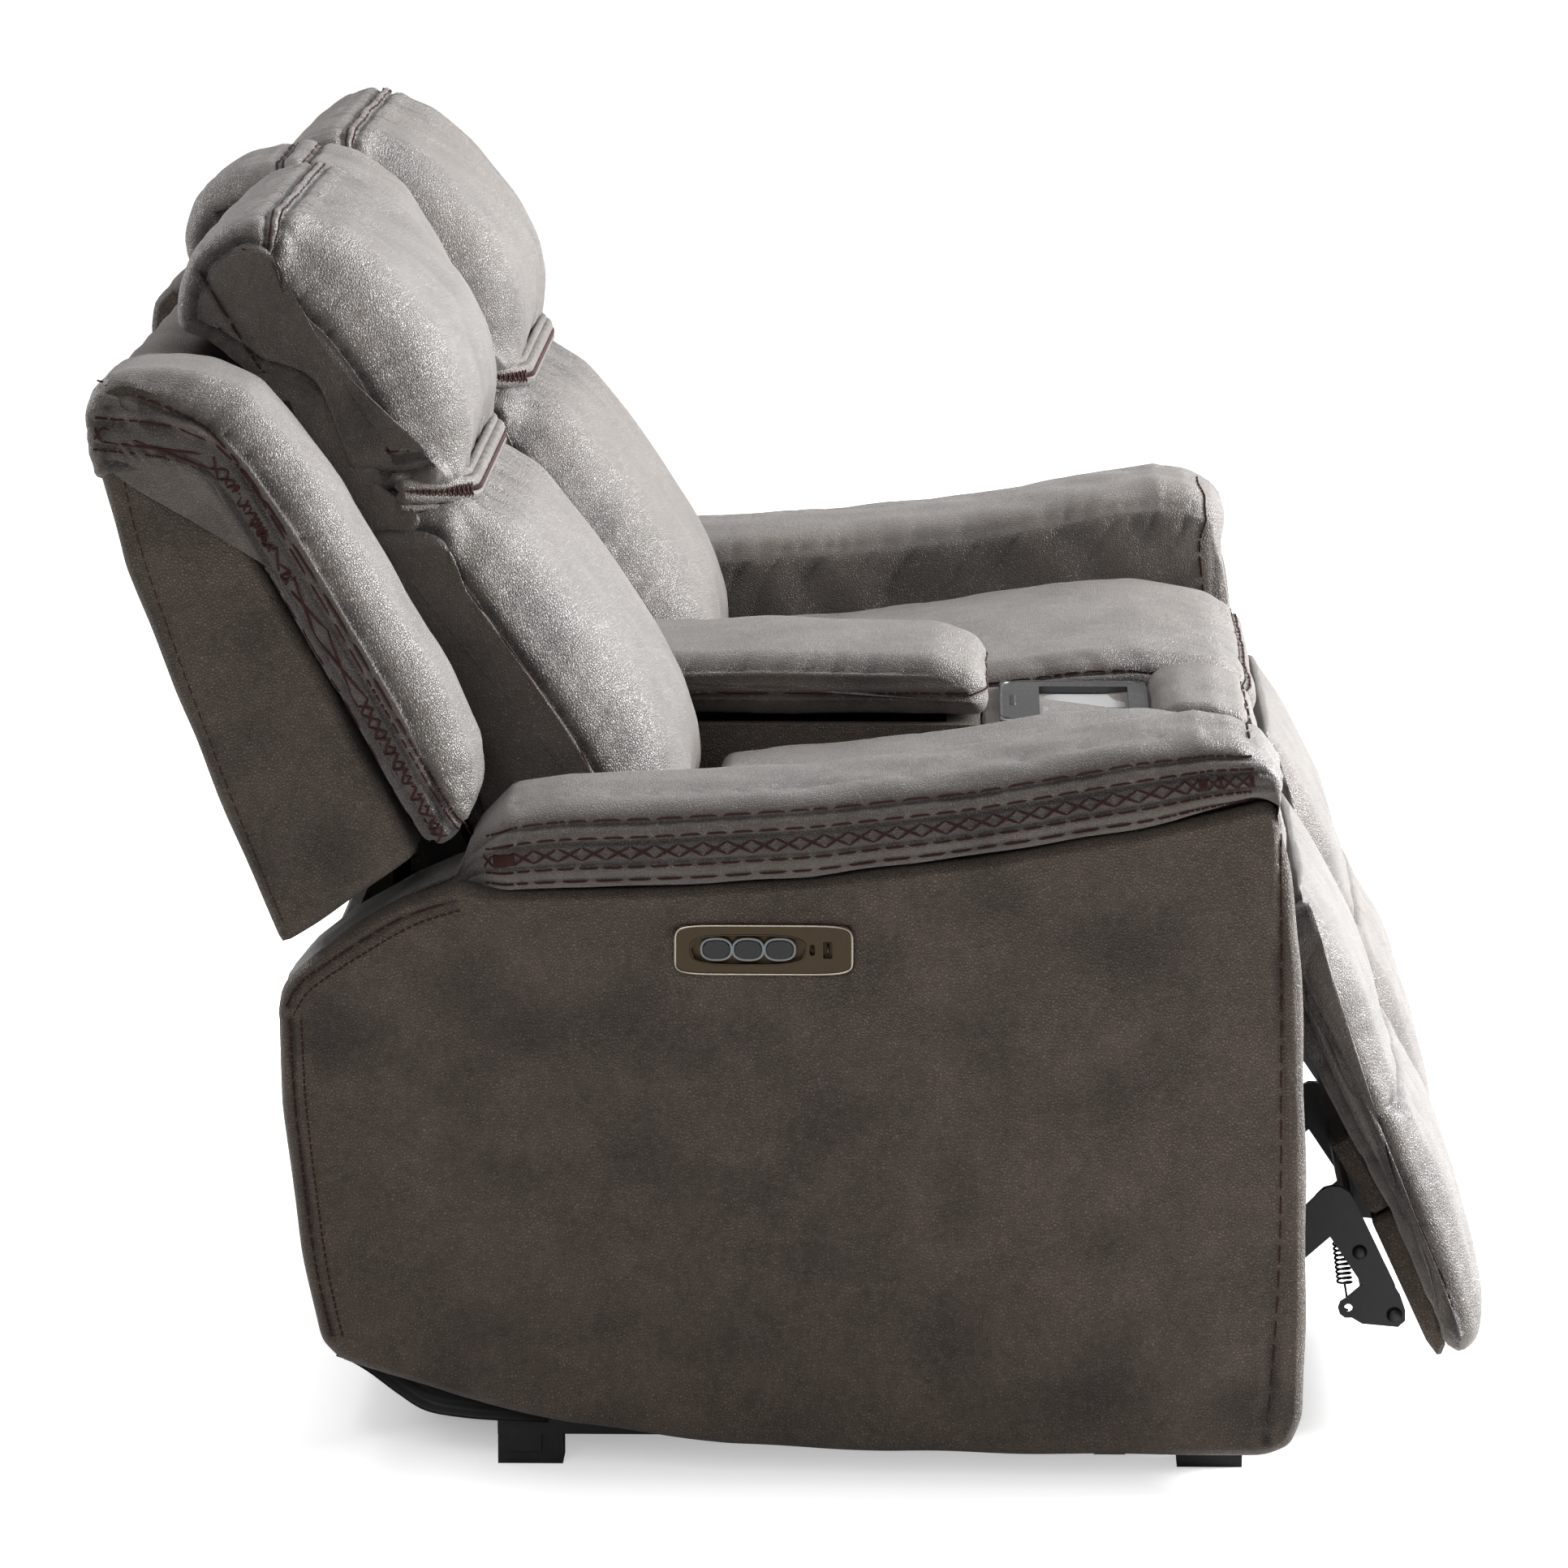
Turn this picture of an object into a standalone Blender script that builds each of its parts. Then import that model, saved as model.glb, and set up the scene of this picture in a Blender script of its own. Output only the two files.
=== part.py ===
"""Two-seat power recliner with a centre console.

The frame: X runs across the width, the seats face -Y, +Z is up and the feet stand on Z = 0.
"right" and "left" are the sitter's, so the right seat lies towards -X.
Each seat has a carriage that glides on the base, a back that hinges on it, a headrest that tilts,
and a footrest with its lift linkage, extension spring and electric actuator.
The side outlines are drawn with Y = 0 at the front of the arms. The last step moves the whole
model so that its origin is the middle of its footprint.
"""

import math

import bmesh
import bpy
from mathutils import Matrix, Vector

# ---- overall sizes, metres ----
OVERALL_WIDTH = 1.98
ARM_DEPTH = 0.90
ARM_HEIGHT = 0.672
BACK_HEIGHT = 1.104
ARM_WIDTH = 0.24
CONSOLE_WIDTH = 0.30

# ---- the sizes that the side outlines are drawn at ----
DRAWN_DEPTH = 0.90
DRAWN_ARM = 0.672
DRAWN_BACK = 1.104

# ---- clearances ----
TOUCH = 0.0004          # between pieces that rest on each other
COVER_GAP = 0.004       # between upholstered pieces that slide past each other
SWING_GAP = 0.0015      # between plates that turn past each other

# ---- upholstered arm ----
PANEL_THICKNESS = 0.045
PANEL_SET_IN = 0.010    # the side panel stands this far inside the arm pad's outer face
WRAP_WALL = 0.028
ARM_FRAME_WIDTH = 0.10
ARM_FRAME_RAIL = 0.045
PAD_ROUND = 0.030

# ---- control panel and its buttons ----
BEZEL_LENGTH = 0.155
BEZEL_HEIGHT = 0.0435
BEZEL_DEPTH = 0.018
BEZEL_PROUD = 0.002
TRAY_LENGTH = 0.100
TRAY_HEIGHT = 0.025
TRAY_DEPTH = 0.0095
BUTTON_COUNT = 3
BUTTON_LENGTH = 0.0235
BUTTON_HEIGHT = 0.0155
BUTTON_PITCH = 0.0277
BUTTON_THICKNESS = 0.0055
BUTTON_TRAVEL = 0.0025
STEM_RADIUS = 0.003
STEM_CLEARANCE = 0.0002

# ---- steelwork ----
PLATE = 0.004
BASE_TUBE = 0.028
BASE_CLEAR = 0.012
FOOT_LENGTH = 0.060
RAIL_WIDTH = 0.050
SIDE_PLATE = 0.009
TUBE_RADIUS = 0.011
TORQUE_RADIUS = 0.012
LINK_ROUND = 0.0125
DISC_ROUND = 0.019
PIVOT_HOLE = 0.004
CRANK_LENGTH = 0.065
BODY_RADIUS = 0.018
ROD_RADIUS = 0.007
BORE_CLEARANCE = 0.0008
SPRING_RADIUS = 0.0075
WIRE_RADIUS = 0.0010
SPRING_TURNS = 8

# ---- seat, back and footrest ----
DECK = 0.014
FRAME_WALL = 0.012
BOARD = 0.021
SHELL_WALL = 0.030
BACK_BOARD = 0.040
WING_WIDTH = ARM_WIDTH - 0.025
SOFT_ROUND = 0.022

# ---- console ----
CONSOLE_WALL = 0.020
BIN_DEPTH = 0.170
LID_OVERHANG = 0.006
CHARGER_LENGTH = 0.147
CHARGER_WIDTH = 0.250
CHARGER_THICKNESS = 0.014
CHARGER_PROUD = 0.005
PHONE_RECESS_LENGTH = 0.088
PHONE_RECESS_WIDTH = 0.180
PHONE_RECESS_DEPTH = 0.008
VALANCE_THICKNESS = 0.018

HALF_WIDTH = OVERALL_WIDTH / 2
ARM_INNER = HALF_WIDTH - ARM_WIDTH
CONSOLE_EDGE = CONSOLE_WIDTH / 2
PANEL_OUTER = HALF_WIDTH - PANEL_SET_IN
PANEL_INNER = PANEL_OUTER - PANEL_THICKNESS
SEAT_OUTER = ARM_INNER - COVER_GAP
SEAT_INNER = CONSOLE_EDGE + COVER_GAP
SEAT_MIDDLE = (ARM_INNER + CONSOLE_EDGE) / 2

LEATHER = ("taupe_leather", (0.165, 0.140, 0.122), 0.55, 0.0)
TRIM = ("trim_leather", (0.085, 0.068, 0.060), 0.50, 0.0)
PLYWOOD = ("plywood", (0.55, 0.40, 0.25), 0.65, 0.0)
BLACK_STEEL = ("black_steel", (0.020, 0.020, 0.022), 0.45, 0.6)
SPRING_STEEL = ("spring_steel", (0.05, 0.05, 0.055), 0.35, 0.9)
BRONZE = ("bronze_bezel", (0.085, 0.065, 0.045), 0.35, 0.8)
BUTTON_PLASTIC = ("button_plastic", (0.015, 0.015, 0.015), 0.40, 0.0)
SILVER_PLASTIC = ("silver_plastic", (0.45, 0.46, 0.48), 0.30, 0.3)
ROD_STEEL = ("rod_steel", (0.60, 0.60, 0.62), 0.25, 1.0)


def side(y, z):
    """A point of the side view, stretched from the drawn sizes to the overall ones."""
    y = y * ARM_DEPTH / DRAWN_DEPTH
    if z <= DRAWN_ARM:
        return y, z * ARM_HEIGHT / DRAWN_ARM
    above = (z - DRAWN_ARM) / (DRAWN_BACK - DRAWN_ARM)
    return y, ARM_HEIGHT + above * (BACK_HEIGHT - ARM_HEIGHT)


def outline(*points):
    return [side(y, z) for y, z in points]


# ---- pivots and reference points of the side view ----
FOOTREST_PIVOT = side(0.000, 0.512)
RECLINE_PIVOT = side(0.690, 0.318)
HEADREST_PIVOT = side(0.760, 0.846)
LIFT_PIVOT = side(0.150, 0.372)
LIFT_ELBOW = side(0.103, 0.064)
LINK_DISC = side(-0.036, 0.1955)
BRACKET_PIVOT = side(-0.0815, 0.116)
SPRING_HOLE = side(-0.0505, 0.0985)
SPRING_TOP = side(-0.042, 0.160)
ACTUATOR_PIVOT = side(0.500, 0.305)
LID_PIVOT = side(0.700, 0.556)
BEZEL_CENTRE = side(0.4755, 0.483)
TRAY_OFFSET = -0.0136    # from the bezel's centre to the button tray's, along Y
BUTTONS_MIDDLE = 0.0136

# ---- heights of the flat faces ----
TUBE_TOP = BASE_CLEAR + BASE_TUBE
DECK_TOP = side(0, 0.432)[1]
CARRIAGE_BOTTOM = side(0, 0.336)[1]
CHARGER_FLOOR = side(0, 0.549)[1]

# ---- the line where the arm pad sits on the side panel, front to back ----
ARM_SEAM = outline((0.034, 0.616), (0.152, 0.589), (0.293, 0.564), (0.434, 0.547), (0.575, 0.537), (0.716, 0.535))


def paint(name, colour, roughness, metallic):
    material = bpy.data.materials.get(name)
    if material is None:
        material = bpy.data.materials.new(name)
        material.use_nodes = True
        shader = material.node_tree.nodes["Principled BSDF"]
        shader.inputs["Base Color"].default_value = (*colour, 1.0)
        shader.inputs["Roughness"].default_value = roughness
        shader.inputs["Metallic"].default_value = metallic
        material.diffuse_color = (*colour, 1.0)
    return material


def new_object(name, mesh, finish):
    obj = bpy.data.objects.new(name, mesh)
    bpy.context.scene.collection.objects.link(obj)
    mesh.materials.clear()
    mesh.materials.append(paint(*finish))
    return obj


def settle(obj):
    """Replaces an object's mesh with the result of its modifiers."""
    bpy.context.view_layer.update()
    graph = bpy.context.evaluated_depsgraph_get()
    mesh = bpy.data.meshes.new_from_object(obj.evaluated_get(graph))
    obj.modifiers.clear()
    obj.data = mesh


def combine(obj, others, operation):
    """Joins other objects to this one, or cuts them out of it, and removes them."""
    for other in others:
        modifier = obj.modifiers.new(operation.lower(), "BOOLEAN")
        modifier.operation = operation
        modifier.solver = "EXACT"
        modifier.object = other
    settle(obj)
    for other in others:
        bpy.data.objects.remove(other)
    return obj


def unite(obj, *others):
    return combine(obj, others, "UNION")


def cut(obj, *others):
    return combine(obj, others, "DIFFERENCE")


def soften(obj, width, segments=2, angle=40.0):
    """Rounds every edge sharper than the angle."""
    modifier = obj.modifiers.new("rounding", "BEVEL")
    modifier.width = width
    modifier.segments = segments
    modifier.limit_method = "ANGLE"
    modifier.angle_limit = math.radians(angle)
    modifier.use_clamp_overlap = True
    settle(obj)
    return obj


def prism(name, points, low, high, finish, axis="X"):
    """A closed outline carried along X from low to high, or along Z for an outline in X and Y."""
    builder = bmesh.new()
    rings = []
    for level in sorted((low, high)):
        if axis == "X":
            rings.append([builder.verts.new((level, y, z)) for y, z in points])
        elif axis == "Y":
            rings.append([builder.verts.new((x, level, z)) for x, z in points])
        else:
            rings.append([builder.verts.new((x, y, level)) for x, y in points])
    first, last = rings
    builder.faces.new(first)
    builder.faces.new(last[::-1])
    count = len(points)
    for index in range(count):
        after = (index + 1) % count
        builder.faces.new((first[index], last[index], last[after], first[after]))
    bmesh.ops.recalc_face_normals(builder, faces=builder.faces)
    mesh = bpy.data.meshes.new(name)
    builder.to_mesh(mesh)
    builder.free()
    return new_object(name, mesh, finish)


def box(name, low, high, finish):
    corners = [(low[1], low[2]), (high[1], low[2]), (high[1], high[2]), (low[1], high[2])]
    return prism(name, corners, low[0], high[0], finish)


def rod(name, start, end, radius, finish, sides=16):
    """A round bar between two points."""
    start, end = Vector(start), Vector(end)
    builder = bmesh.new()
    length = (end - start).length
    bmesh.ops.create_cone(builder, cap_ends=True, segments=sides, radius1=radius, radius2=radius, depth=length)
    turn = Vector((0, 0, 1)).rotation_difference(end - start).to_matrix().to_4x4()
    bmesh.ops.transform(builder, matrix=Matrix.Translation((start + end) / 2) @ turn, verts=builder.verts)
    bmesh.ops.recalc_face_normals(builder, faces=builder.faces)
    mesh = bpy.data.meshes.new(name)
    builder.to_mesh(mesh)
    builder.free()
    return new_object(name, mesh, finish)


def arc(centre, radius, start, end, steps=8):
    """Points on an arc, angles in degrees from the first axis towards the second."""
    points = []
    for index in range(steps + 1):
        angle = math.radians(start + (end - start) * index / steps)
        points.append((centre[0] + radius * math.cos(angle), centre[1] + radius * math.sin(angle)))
    return points


def bar_outline(start, end, start_radius, end_radius):
    """A link's outline: two round ends joined by straight sides."""
    heading = math.degrees(math.atan2(end[1] - start[1], end[0] - start[0]))
    return (arc(start, start_radius, heading + 90, heading + 270, 6)
            + arc(end, end_radius, heading - 90, heading + 90, 6))


def stadium(centre, length, height, steps=6):
    """A slot's outline, long in the first axis."""
    radius = height / 2
    reach = length / 2 - radius
    return (arc((centre[0] - reach, centre[1]), radius, 90, 270, steps)
            + arc((centre[0] + reach, centre[1]), radius, -90, 90, steps))


def rounded_box_outline(centre, length, height, radius, steps=3):
    points = []
    for start, y_sign, z_sign in ((0, 1, 1), (90, -1, 1), (180, -1, -1), (270, 1, -1)):
        corner = (centre[0] + y_sign * (length / 2 - radius), centre[1] + z_sign * (height / 2 - radius))
        points += arc(corner, radius, start, start + 90, steps)
    return points


def smooth(points, steps=3):
    """A Catmull-Rom curve through an open row of points."""
    result = []
    last = len(points) - 1
    for index in range(last):
        before = points[max(index - 1, 0)]
        start, end = points[index], points[index + 1]
        after = points[min(index + 2, last)]
        for step in range(steps):
            t = step / steps
            weights = (-t + 2 * t**2 - t**3, 2 - 5 * t**2 + 3 * t**3, t + 4 * t**2 - 3 * t**3, t**3 - t**2)
            rows = (before, start, end, after)
            result.append(tuple(sum(w * row[axis] for w, row in zip(weights, rows)) / 2 for axis in (0, 1)))
    result.append(points[-1])
    return result


def inset(points, distance):
    """The outline moved inwards by a distance, along the mean normal of each point's two sides."""
    count = len(points)
    area = sum(points[i - 1][0] * points[i][1] - points[i][0] * points[i - 1][1] for i in range(count))
    turn = 1 if area > 0 else -1
    result = []
    for index in range(count):
        before, here, after = points[index - 1], points[index], points[(index + 1) % count]
        one = Vector((here[0] - before[0], here[1] - before[1])).normalized()
        two = Vector((after[0] - here[0], after[1] - here[1])).normalized()
        along = (one + two).normalized()
        stretch = max(along.dot(one), 0.5)
        result.append((here[0] - turn * along.y * distance / stretch, here[1] + turn * along.x * distance / stretch))
    return result


def raised(points, height):
    return [(y, z + height) for y, z in points]


class Seat:
    """One seat's pieces, their empties and its side of the model: -1 for the right, 1 for the left."""

    def __init__(self, prefix, sign):
        self.prefix = prefix
        self.sign = sign
        self.pivots = {}

    def name(self, piece):
        return f"{self.prefix}_{piece}"

    def x(self, distance):
        return self.sign * distance

    def across(self, distance):
        """The same place on the other side of the seat's own middle."""
        return 2 * SEAT_MIDDLE - distance

    def prism(self, piece, points, near, far, finish):
        return prism(self.name(piece), points, self.x(near), self.x(far), finish)

    def box(self, piece, near, far, y_range, z_range, finish):
        corners = [(y_range[0], z_range[0]), (y_range[1], z_range[0]), (y_range[1], z_range[1]), (y_range[0], z_range[1])]
        return self.prism(piece, corners, near, far, finish)

    def tube(self, piece, near, far, centre, radius, finish, sides=14):
        start = (self.x(near), centre[0], centre[1])
        end = (self.x(far), centre[0], centre[1])
        return rod(self.name(piece), start, end, radius, finish, sides)

    def pair_of_bars(self, piece, shape, near, far, tube_at, tube_radius, finish):
        """Two like plates, one at each side of the seat, joined by a round cross tube."""
        first = self.prism(piece, shape, near, far, finish)
        second = self.prism("second", shape, self.across(near), self.across(far), finish)
        tube = self.tube("tube", near + PLATE / 2, self.across(near + PLATE / 2), tube_at, tube_radius, finish)
        return unite(first, second, tube)

    def pivot(self, joint, place, x_place, pieces):
        """An empty on the joint's axis, which carries the pieces that turn with it."""
        empty = bpy.data.objects.new(self.name(joint), None)
        empty.location = (self.x(x_place), place[0], place[1])
        bpy.context.scene.collection.objects.link(empty)
        bpy.context.view_layer.update()
        for piece in pieces:
            hang(piece, empty)
        self.pivots[joint] = empty
        return empty


def hang(piece, parent):
    """Parents a piece and keeps its place; a mesh gets its origin on the parent."""
    bpy.context.view_layer.update()
    if piece.type == "MESH":
        shift = parent.matrix_world.translation - piece.matrix_world.translation
        piece.data.transform(Matrix.Translation(-shift))
        piece.parent = parent
        piece.location = (0, 0, 0)
    else:
        place = piece.matrix_world.translation.copy()
        piece.parent = parent
        piece.location = place - parent.matrix_world.translation


def panel_outline():
    """The side panel: bowed front edge, the pad's seam, the rear slope and the curved lower edge."""
    front = arc(side(0.036, 0.065), 0.036, 270, 180, 3)
    front += outline((0.001, 0.33), (0.006, 0.465), (0.018, 0.551), (0.026, 0.600))
    rear = outline((0.744, 0.540), (0.790, 0.525), (0.837, 0.498), (0.879, 0.466), (0.898, 0.448), (0.901, 0.430))
    rear += outline((0.899, 0.340), (0.882, 0.208), (0.867, 0.130), (0.852, 0.112))
    below = outline((0.747, 0.078), (0.647, 0.055), (0.505, 0.037), (0.362, 0.030), (0.200, 0.029))
    return front + smooth(ARM_SEAM, 2) + rear + below


def core_outline():
    """The hollow inside the upholstered arm, about a wrap's thickness inside the panel's outline."""
    top = outline((0.031, 0.555), (0.060, 0.572), (0.152, 0.556), (0.293, 0.531), (0.434, 0.515), (0.575, 0.506))
    rear = outline((0.720, 0.505), (0.780, 0.490), (0.868, 0.425), (0.868, 0.330), (0.852, 0.210), (0.840, 0.145))
    below = outline((0.747, 0.112), (0.647, 0.088), (0.505, 0.068), (0.362, 0.060), (0.050, 0.060), (0.031, 0.080))
    return top + rear + below


def make_arm(seat):
    shape = panel_outline()
    outer = seat.prism("side_panel", shape, PANEL_INNER, PANEL_OUTER, LEATHER)
    soften(outer, 0.010, 2, 55)
    pocket_shape = rounded_box_outline(BEZEL_CENTRE, BEZEL_LENGTH + 2 * TOUCH, BEZEL_HEIGHT + 2 * TOUCH, 0.009)
    pocket_floor = PANEL_OUTER + BEZEL_PROUD - BEZEL_DEPTH - TOUCH
    pocket = seat.prism("pocket", pocket_shape, pocket_floor, PANEL_OUTER + 0.05, LEATHER)
    cut(outer, pocket)

    wrap_top = PANEL_INNER - TOUCH
    wrap_shape = inset(shape, 0.003)
    wrap = seat.prism("arm_wrap", wrap_shape, ARM_INNER, wrap_top, LEATHER)
    hollow = seat.prism("hollow", core_outline(), ARM_INNER + WRAP_WALL, HALF_WIDTH, LEATHER)
    lowest = side(0, 0.02)[1]
    mouth_y = (side(0.040, 0)[0], side(0.790, 0)[0])
    mouth = seat.box("mouth", ARM_INNER + WRAP_WALL, HALF_WIDTH, mouth_y, (lowest, side(0, 0.13)[1]), LEATHER)
    notches = []
    for middle in base_tube_places():
        span = (middle - BASE_TUBE / 2 - COVER_GAP, middle + BASE_TUBE / 2 + COVER_GAP)
        notch = seat.box("notch", ARM_INNER - 0.02, ARM_INNER + WRAP_WALL + 0.01, span, (0, TUBE_TOP + COVER_GAP), LEATHER)
        notches.append(notch)
    cut(wrap, hollow, mouth, *notches)

    frame_shape = inset(core_outline(), 0.004)
    frame = seat.prism("arm_frame", frame_shape, wrap_top - ARM_FRAME_WIDTH, wrap_top - TOUCH, PLYWOOD)
    windows = []
    for start in (0.090, 0.310, 0.530):
        window_shape = outline((start, 0.17), (start + 0.17, 0.17), (start + 0.17, 0.43), (start, 0.43))
        windows.append(seat.prism("window", window_shape, 0, HALF_WIDTH, PLYWOOD))
    cut(frame, *windows)

    below = raised(smooth(ARM_SEAM, 2), TOUCH)
    rear = outline((0.731, 0.545), (0.737, 0.572), (0.728, 0.590), (0.702, 0.603))
    top = outline((0.652, 0.611), (0.575, 0.614), (0.434, 0.622), (0.293, 0.638), (0.152, 0.664), (0.089, 0.672))
    nose = outline((0.045, 0.668), (0.022, 0.652), (0.016, 0.634), (0.022, 0.622))
    pad = seat.prism("arm_pad", below + rear + top + nose, ARM_INNER, HALF_WIDTH, LEATHER)
    soften(pad, PAD_ROUND, 2, 60)
    make_controls(seat)


def make_controls(seat):
    front = PANEL_OUTER + BEZEL_PROUD
    back = front - BEZEL_DEPTH
    shape = rounded_box_outline(BEZEL_CENTRE, BEZEL_LENGTH, BEZEL_HEIGHT, 0.009)
    bezel = seat.prism("control_bezel", shape, back, front, BRONZE)
    tray_centre = (BEZEL_CENTRE[0] + BUTTONS_MIDDLE, BEZEL_CENTRE[1])
    tray = seat.prism("tray", stadium(tray_centre, TRAY_LENGTH, TRAY_HEIGHT, 4), front - TRAY_DEPTH, front + 0.05, BRONZE)
    cuts = [tray]
    places = []
    for index in range(BUTTON_COUNT):
        along = tray_centre[0] + (index - (BUTTON_COUNT - 1) / 2) * -BUTTON_PITCH
        places.append((along, tray_centre[1]))
        hole = seat.tube("hole", back - 0.01, front, places[-1], STEM_RADIUS + STEM_CLEARANCE, BRONZE, 10)
        cuts.append(hole)
    usb_c = rounded_box_outline((BEZEL_CENTRE[0] - 0.0425, BEZEL_CENTRE[1]), 0.0047, 0.0098, 0.0020, 2)
    usb_a = rounded_box_outline((BEZEL_CENTRE[0] - 0.0560, BEZEL_CENTRE[1]), 0.0080, 0.0150, 0.0008, 1)
    for port in (usb_c, usb_a):
        cuts.append(seat.prism("port", port, front - 0.010, front + 0.05, BRONZE))
    cut(bezel, *cuts)

    for index, place in enumerate(places):
        cap_front = front - TRAY_DEPTH + BUTTON_TRAVEL + 0.0008 + BUTTON_THICKNESS
        button = seat.prism(f"button_{index + 1}", stadium(place, BUTTON_LENGTH, BUTTON_HEIGHT, 5),
                            cap_front - BUTTON_THICKNESS, cap_front, BUTTON_PLASTIC)
        stem_end = cap_front - BUTTON_THICKNESS - BUTTON_TRAVEL - 0.004
        stem = seat.tube("stem", stem_end, cap_front - BUTTON_THICKNESS / 2, place, STEM_RADIUS, BUTTON_PLASTIC, 10)
        unite(button, stem)
        seat.pivot(f"button_{index + 1}_axis", place, cap_front, [button])


def base_tube_places():
    return side(0.170, 0)[0], side(0.690, 0)[0]


def make_base():
    """The welded base: two cross tubes, a rail with two feet under each arm."""
    reach = PANEL_INNER - 0.040
    front, rear = base_tube_places()
    half = BASE_TUBE / 2
    base = box("base_frame", (-reach, front - half, BASE_CLEAR), (reach, front + half, TUBE_TOP), BLACK_STEEL)
    parts = [box("rear_tube", (-reach, rear - half, BASE_CLEAR), (reach, rear + half, TUBE_TOP), BLACK_STEEL)]
    rail_start, rail_end = side(0.050, 0)[0], side(0.715, 0)[0]
    for sign in (-1, 1):
        x_low, x_high = sorted((sign * (reach - RAIL_WIDTH), sign * reach))
        rail = box("rail", (x_low, rail_start, TUBE_TOP - 0.012), (x_high, rail_end, TUBE_TOP + 0.003), BLACK_STEEL)
        parts.append(rail)
        for start in (rail_start, rail_end - FOOT_LENGTH):
            foot = box("foot", (x_low + 0.004, start + 0.002, 0), (x_high - 0.004, start + FOOT_LENGTH, TUBE_TOP - 0.006), BLACK_STEEL)
            parts.append(foot)
    unite(base, *parts)
    valance_front = side(0.858, 0)[0]
    shape = [(valance_front, side(0, 0.075)[1]), (valance_front + VALANCE_THICKNESS, side(0, 0.075)[1]),
             (valance_front + VALANCE_THICKNESS, side(0, 0.438)[1]), (valance_front, side(0, 0.438)[1])]
    reach = ARM_INNER - TOUCH
    valance = prism("rear_valance", shape, -reach, reach, LEATHER)
    soften(valance, 0.004, 1)


# ---- the layers of plates at each side of a seat, from the arm inwards ----
SIDE_PLATE_X = ARM_INNER - 0.038
LIFT_X = SIDE_PLATE_X - SIDE_PLATE - SWING_GAP - PLATE
SWING_X = LIFT_X - PLATE - SWING_GAP
OTTOMAN_X = SWING_X - PLATE - SWING_GAP
BRACKET_X = OTTOMAN_X - PLATE - SWING_GAP

# ---- the sides of the motor and gear case, which the carriage's two lugs hold between them ----
CASE_NEAR = SEAT_MIDDLE - 0.024
CASE_FAR = SEAT_MIDDLE + 0.075


def make_mechanism(seat):
    """The fixed side plates under the carriage, joined by two cross tubes."""
    top = CARRIAGE_BOTTOM - TOUCH
    low = TUBE_TOP + TOUCH
    shape = [(side(0.150, 0)[0], low), (side(0.720, 0)[0], low), (side(0.720, 0)[0], side(0, 0.300)[1])]
    shape += [(side(0.700, 0)[0], top), (side(0.240, 0)[0], top), (side(0.150, 0)[0], side(0, 0.180)[1])]
    near, far = SIDE_PLATE_X - SIDE_PLATE, SIDE_PLATE_X
    plate = seat.prism("mechanism_frame", shape, near, far, BLACK_STEEL)
    second = seat.prism("second", shape, seat.across(near), seat.across(far), BLACK_STEEL)
    tubes = [seat.tube("tube", near + 0.002, seat.across(near) - 0.002, side(*place), TUBE_RADIUS, BLACK_STEEL, 12)
             for place in ((0.430, 0.115), (0.645, 0.115))]
    unite(plate, second, *tubes)


def make_carriage(seat):
    """The seat platform, open below and in front, and the crowned seat cushion on it."""
    y_low, y_high = side(0.092, 0)[0], side(0.540, 0)[0]
    near, far = seat.across(SIDE_PLATE_X + 0.003), SIDE_PLATE_X + 0.003
    platform = seat.box("seat_frame", near, far, (y_low, y_high), (CARRIAGE_BOTTOM, DECK_TOP), PLYWOOD)
    hollow = seat.box("hollow", near + FRAME_WALL, far - FRAME_WALL,
                      (y_low - 0.05, y_high - FRAME_WALL), (0, DECK_TOP - DECK), PLYWOOD)
    cut(platform, hollow)
    lugs = []
    for start in (CASE_NEAR - SWING_GAP - PLATE, CASE_FAR + SWING_GAP):
        lug_y = (ACTUATOR_PIVOT[0] - 0.014, ACTUATOR_PIVOT[0] + 0.010)
        lug_z = (ACTUATOR_PIVOT[1] - 0.014, DECK_TOP - DECK + 0.003)
        lugs.append(seat.box("lug", start, start + PLATE, lug_y, lug_z, PLYWOOD))
    unite(platform, *lugs)
    below = DECK_TOP + TOUCH
    front = outline((0.100, 0.4345), (0.052, 0.462), (0.006, 0.5205), (0.012, 0.540), (0.045, 0.566))
    top = outline((0.128, 0.580), (0.211, 0.574), (0.320, 0.556), (0.440, 0.541), (0.535, 0.534))
    shape = [(y, max(z, below)) for y, z in front + top]
    shape.append((side(0.538, 0)[0], below))
    cushion = seat.prism("seat_cushion", shape, SEAT_INNER, SEAT_OUTER, LEATHER)
    soften(cushion, SOFT_ROUND, 2, 80)
    return platform, cushion


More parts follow.
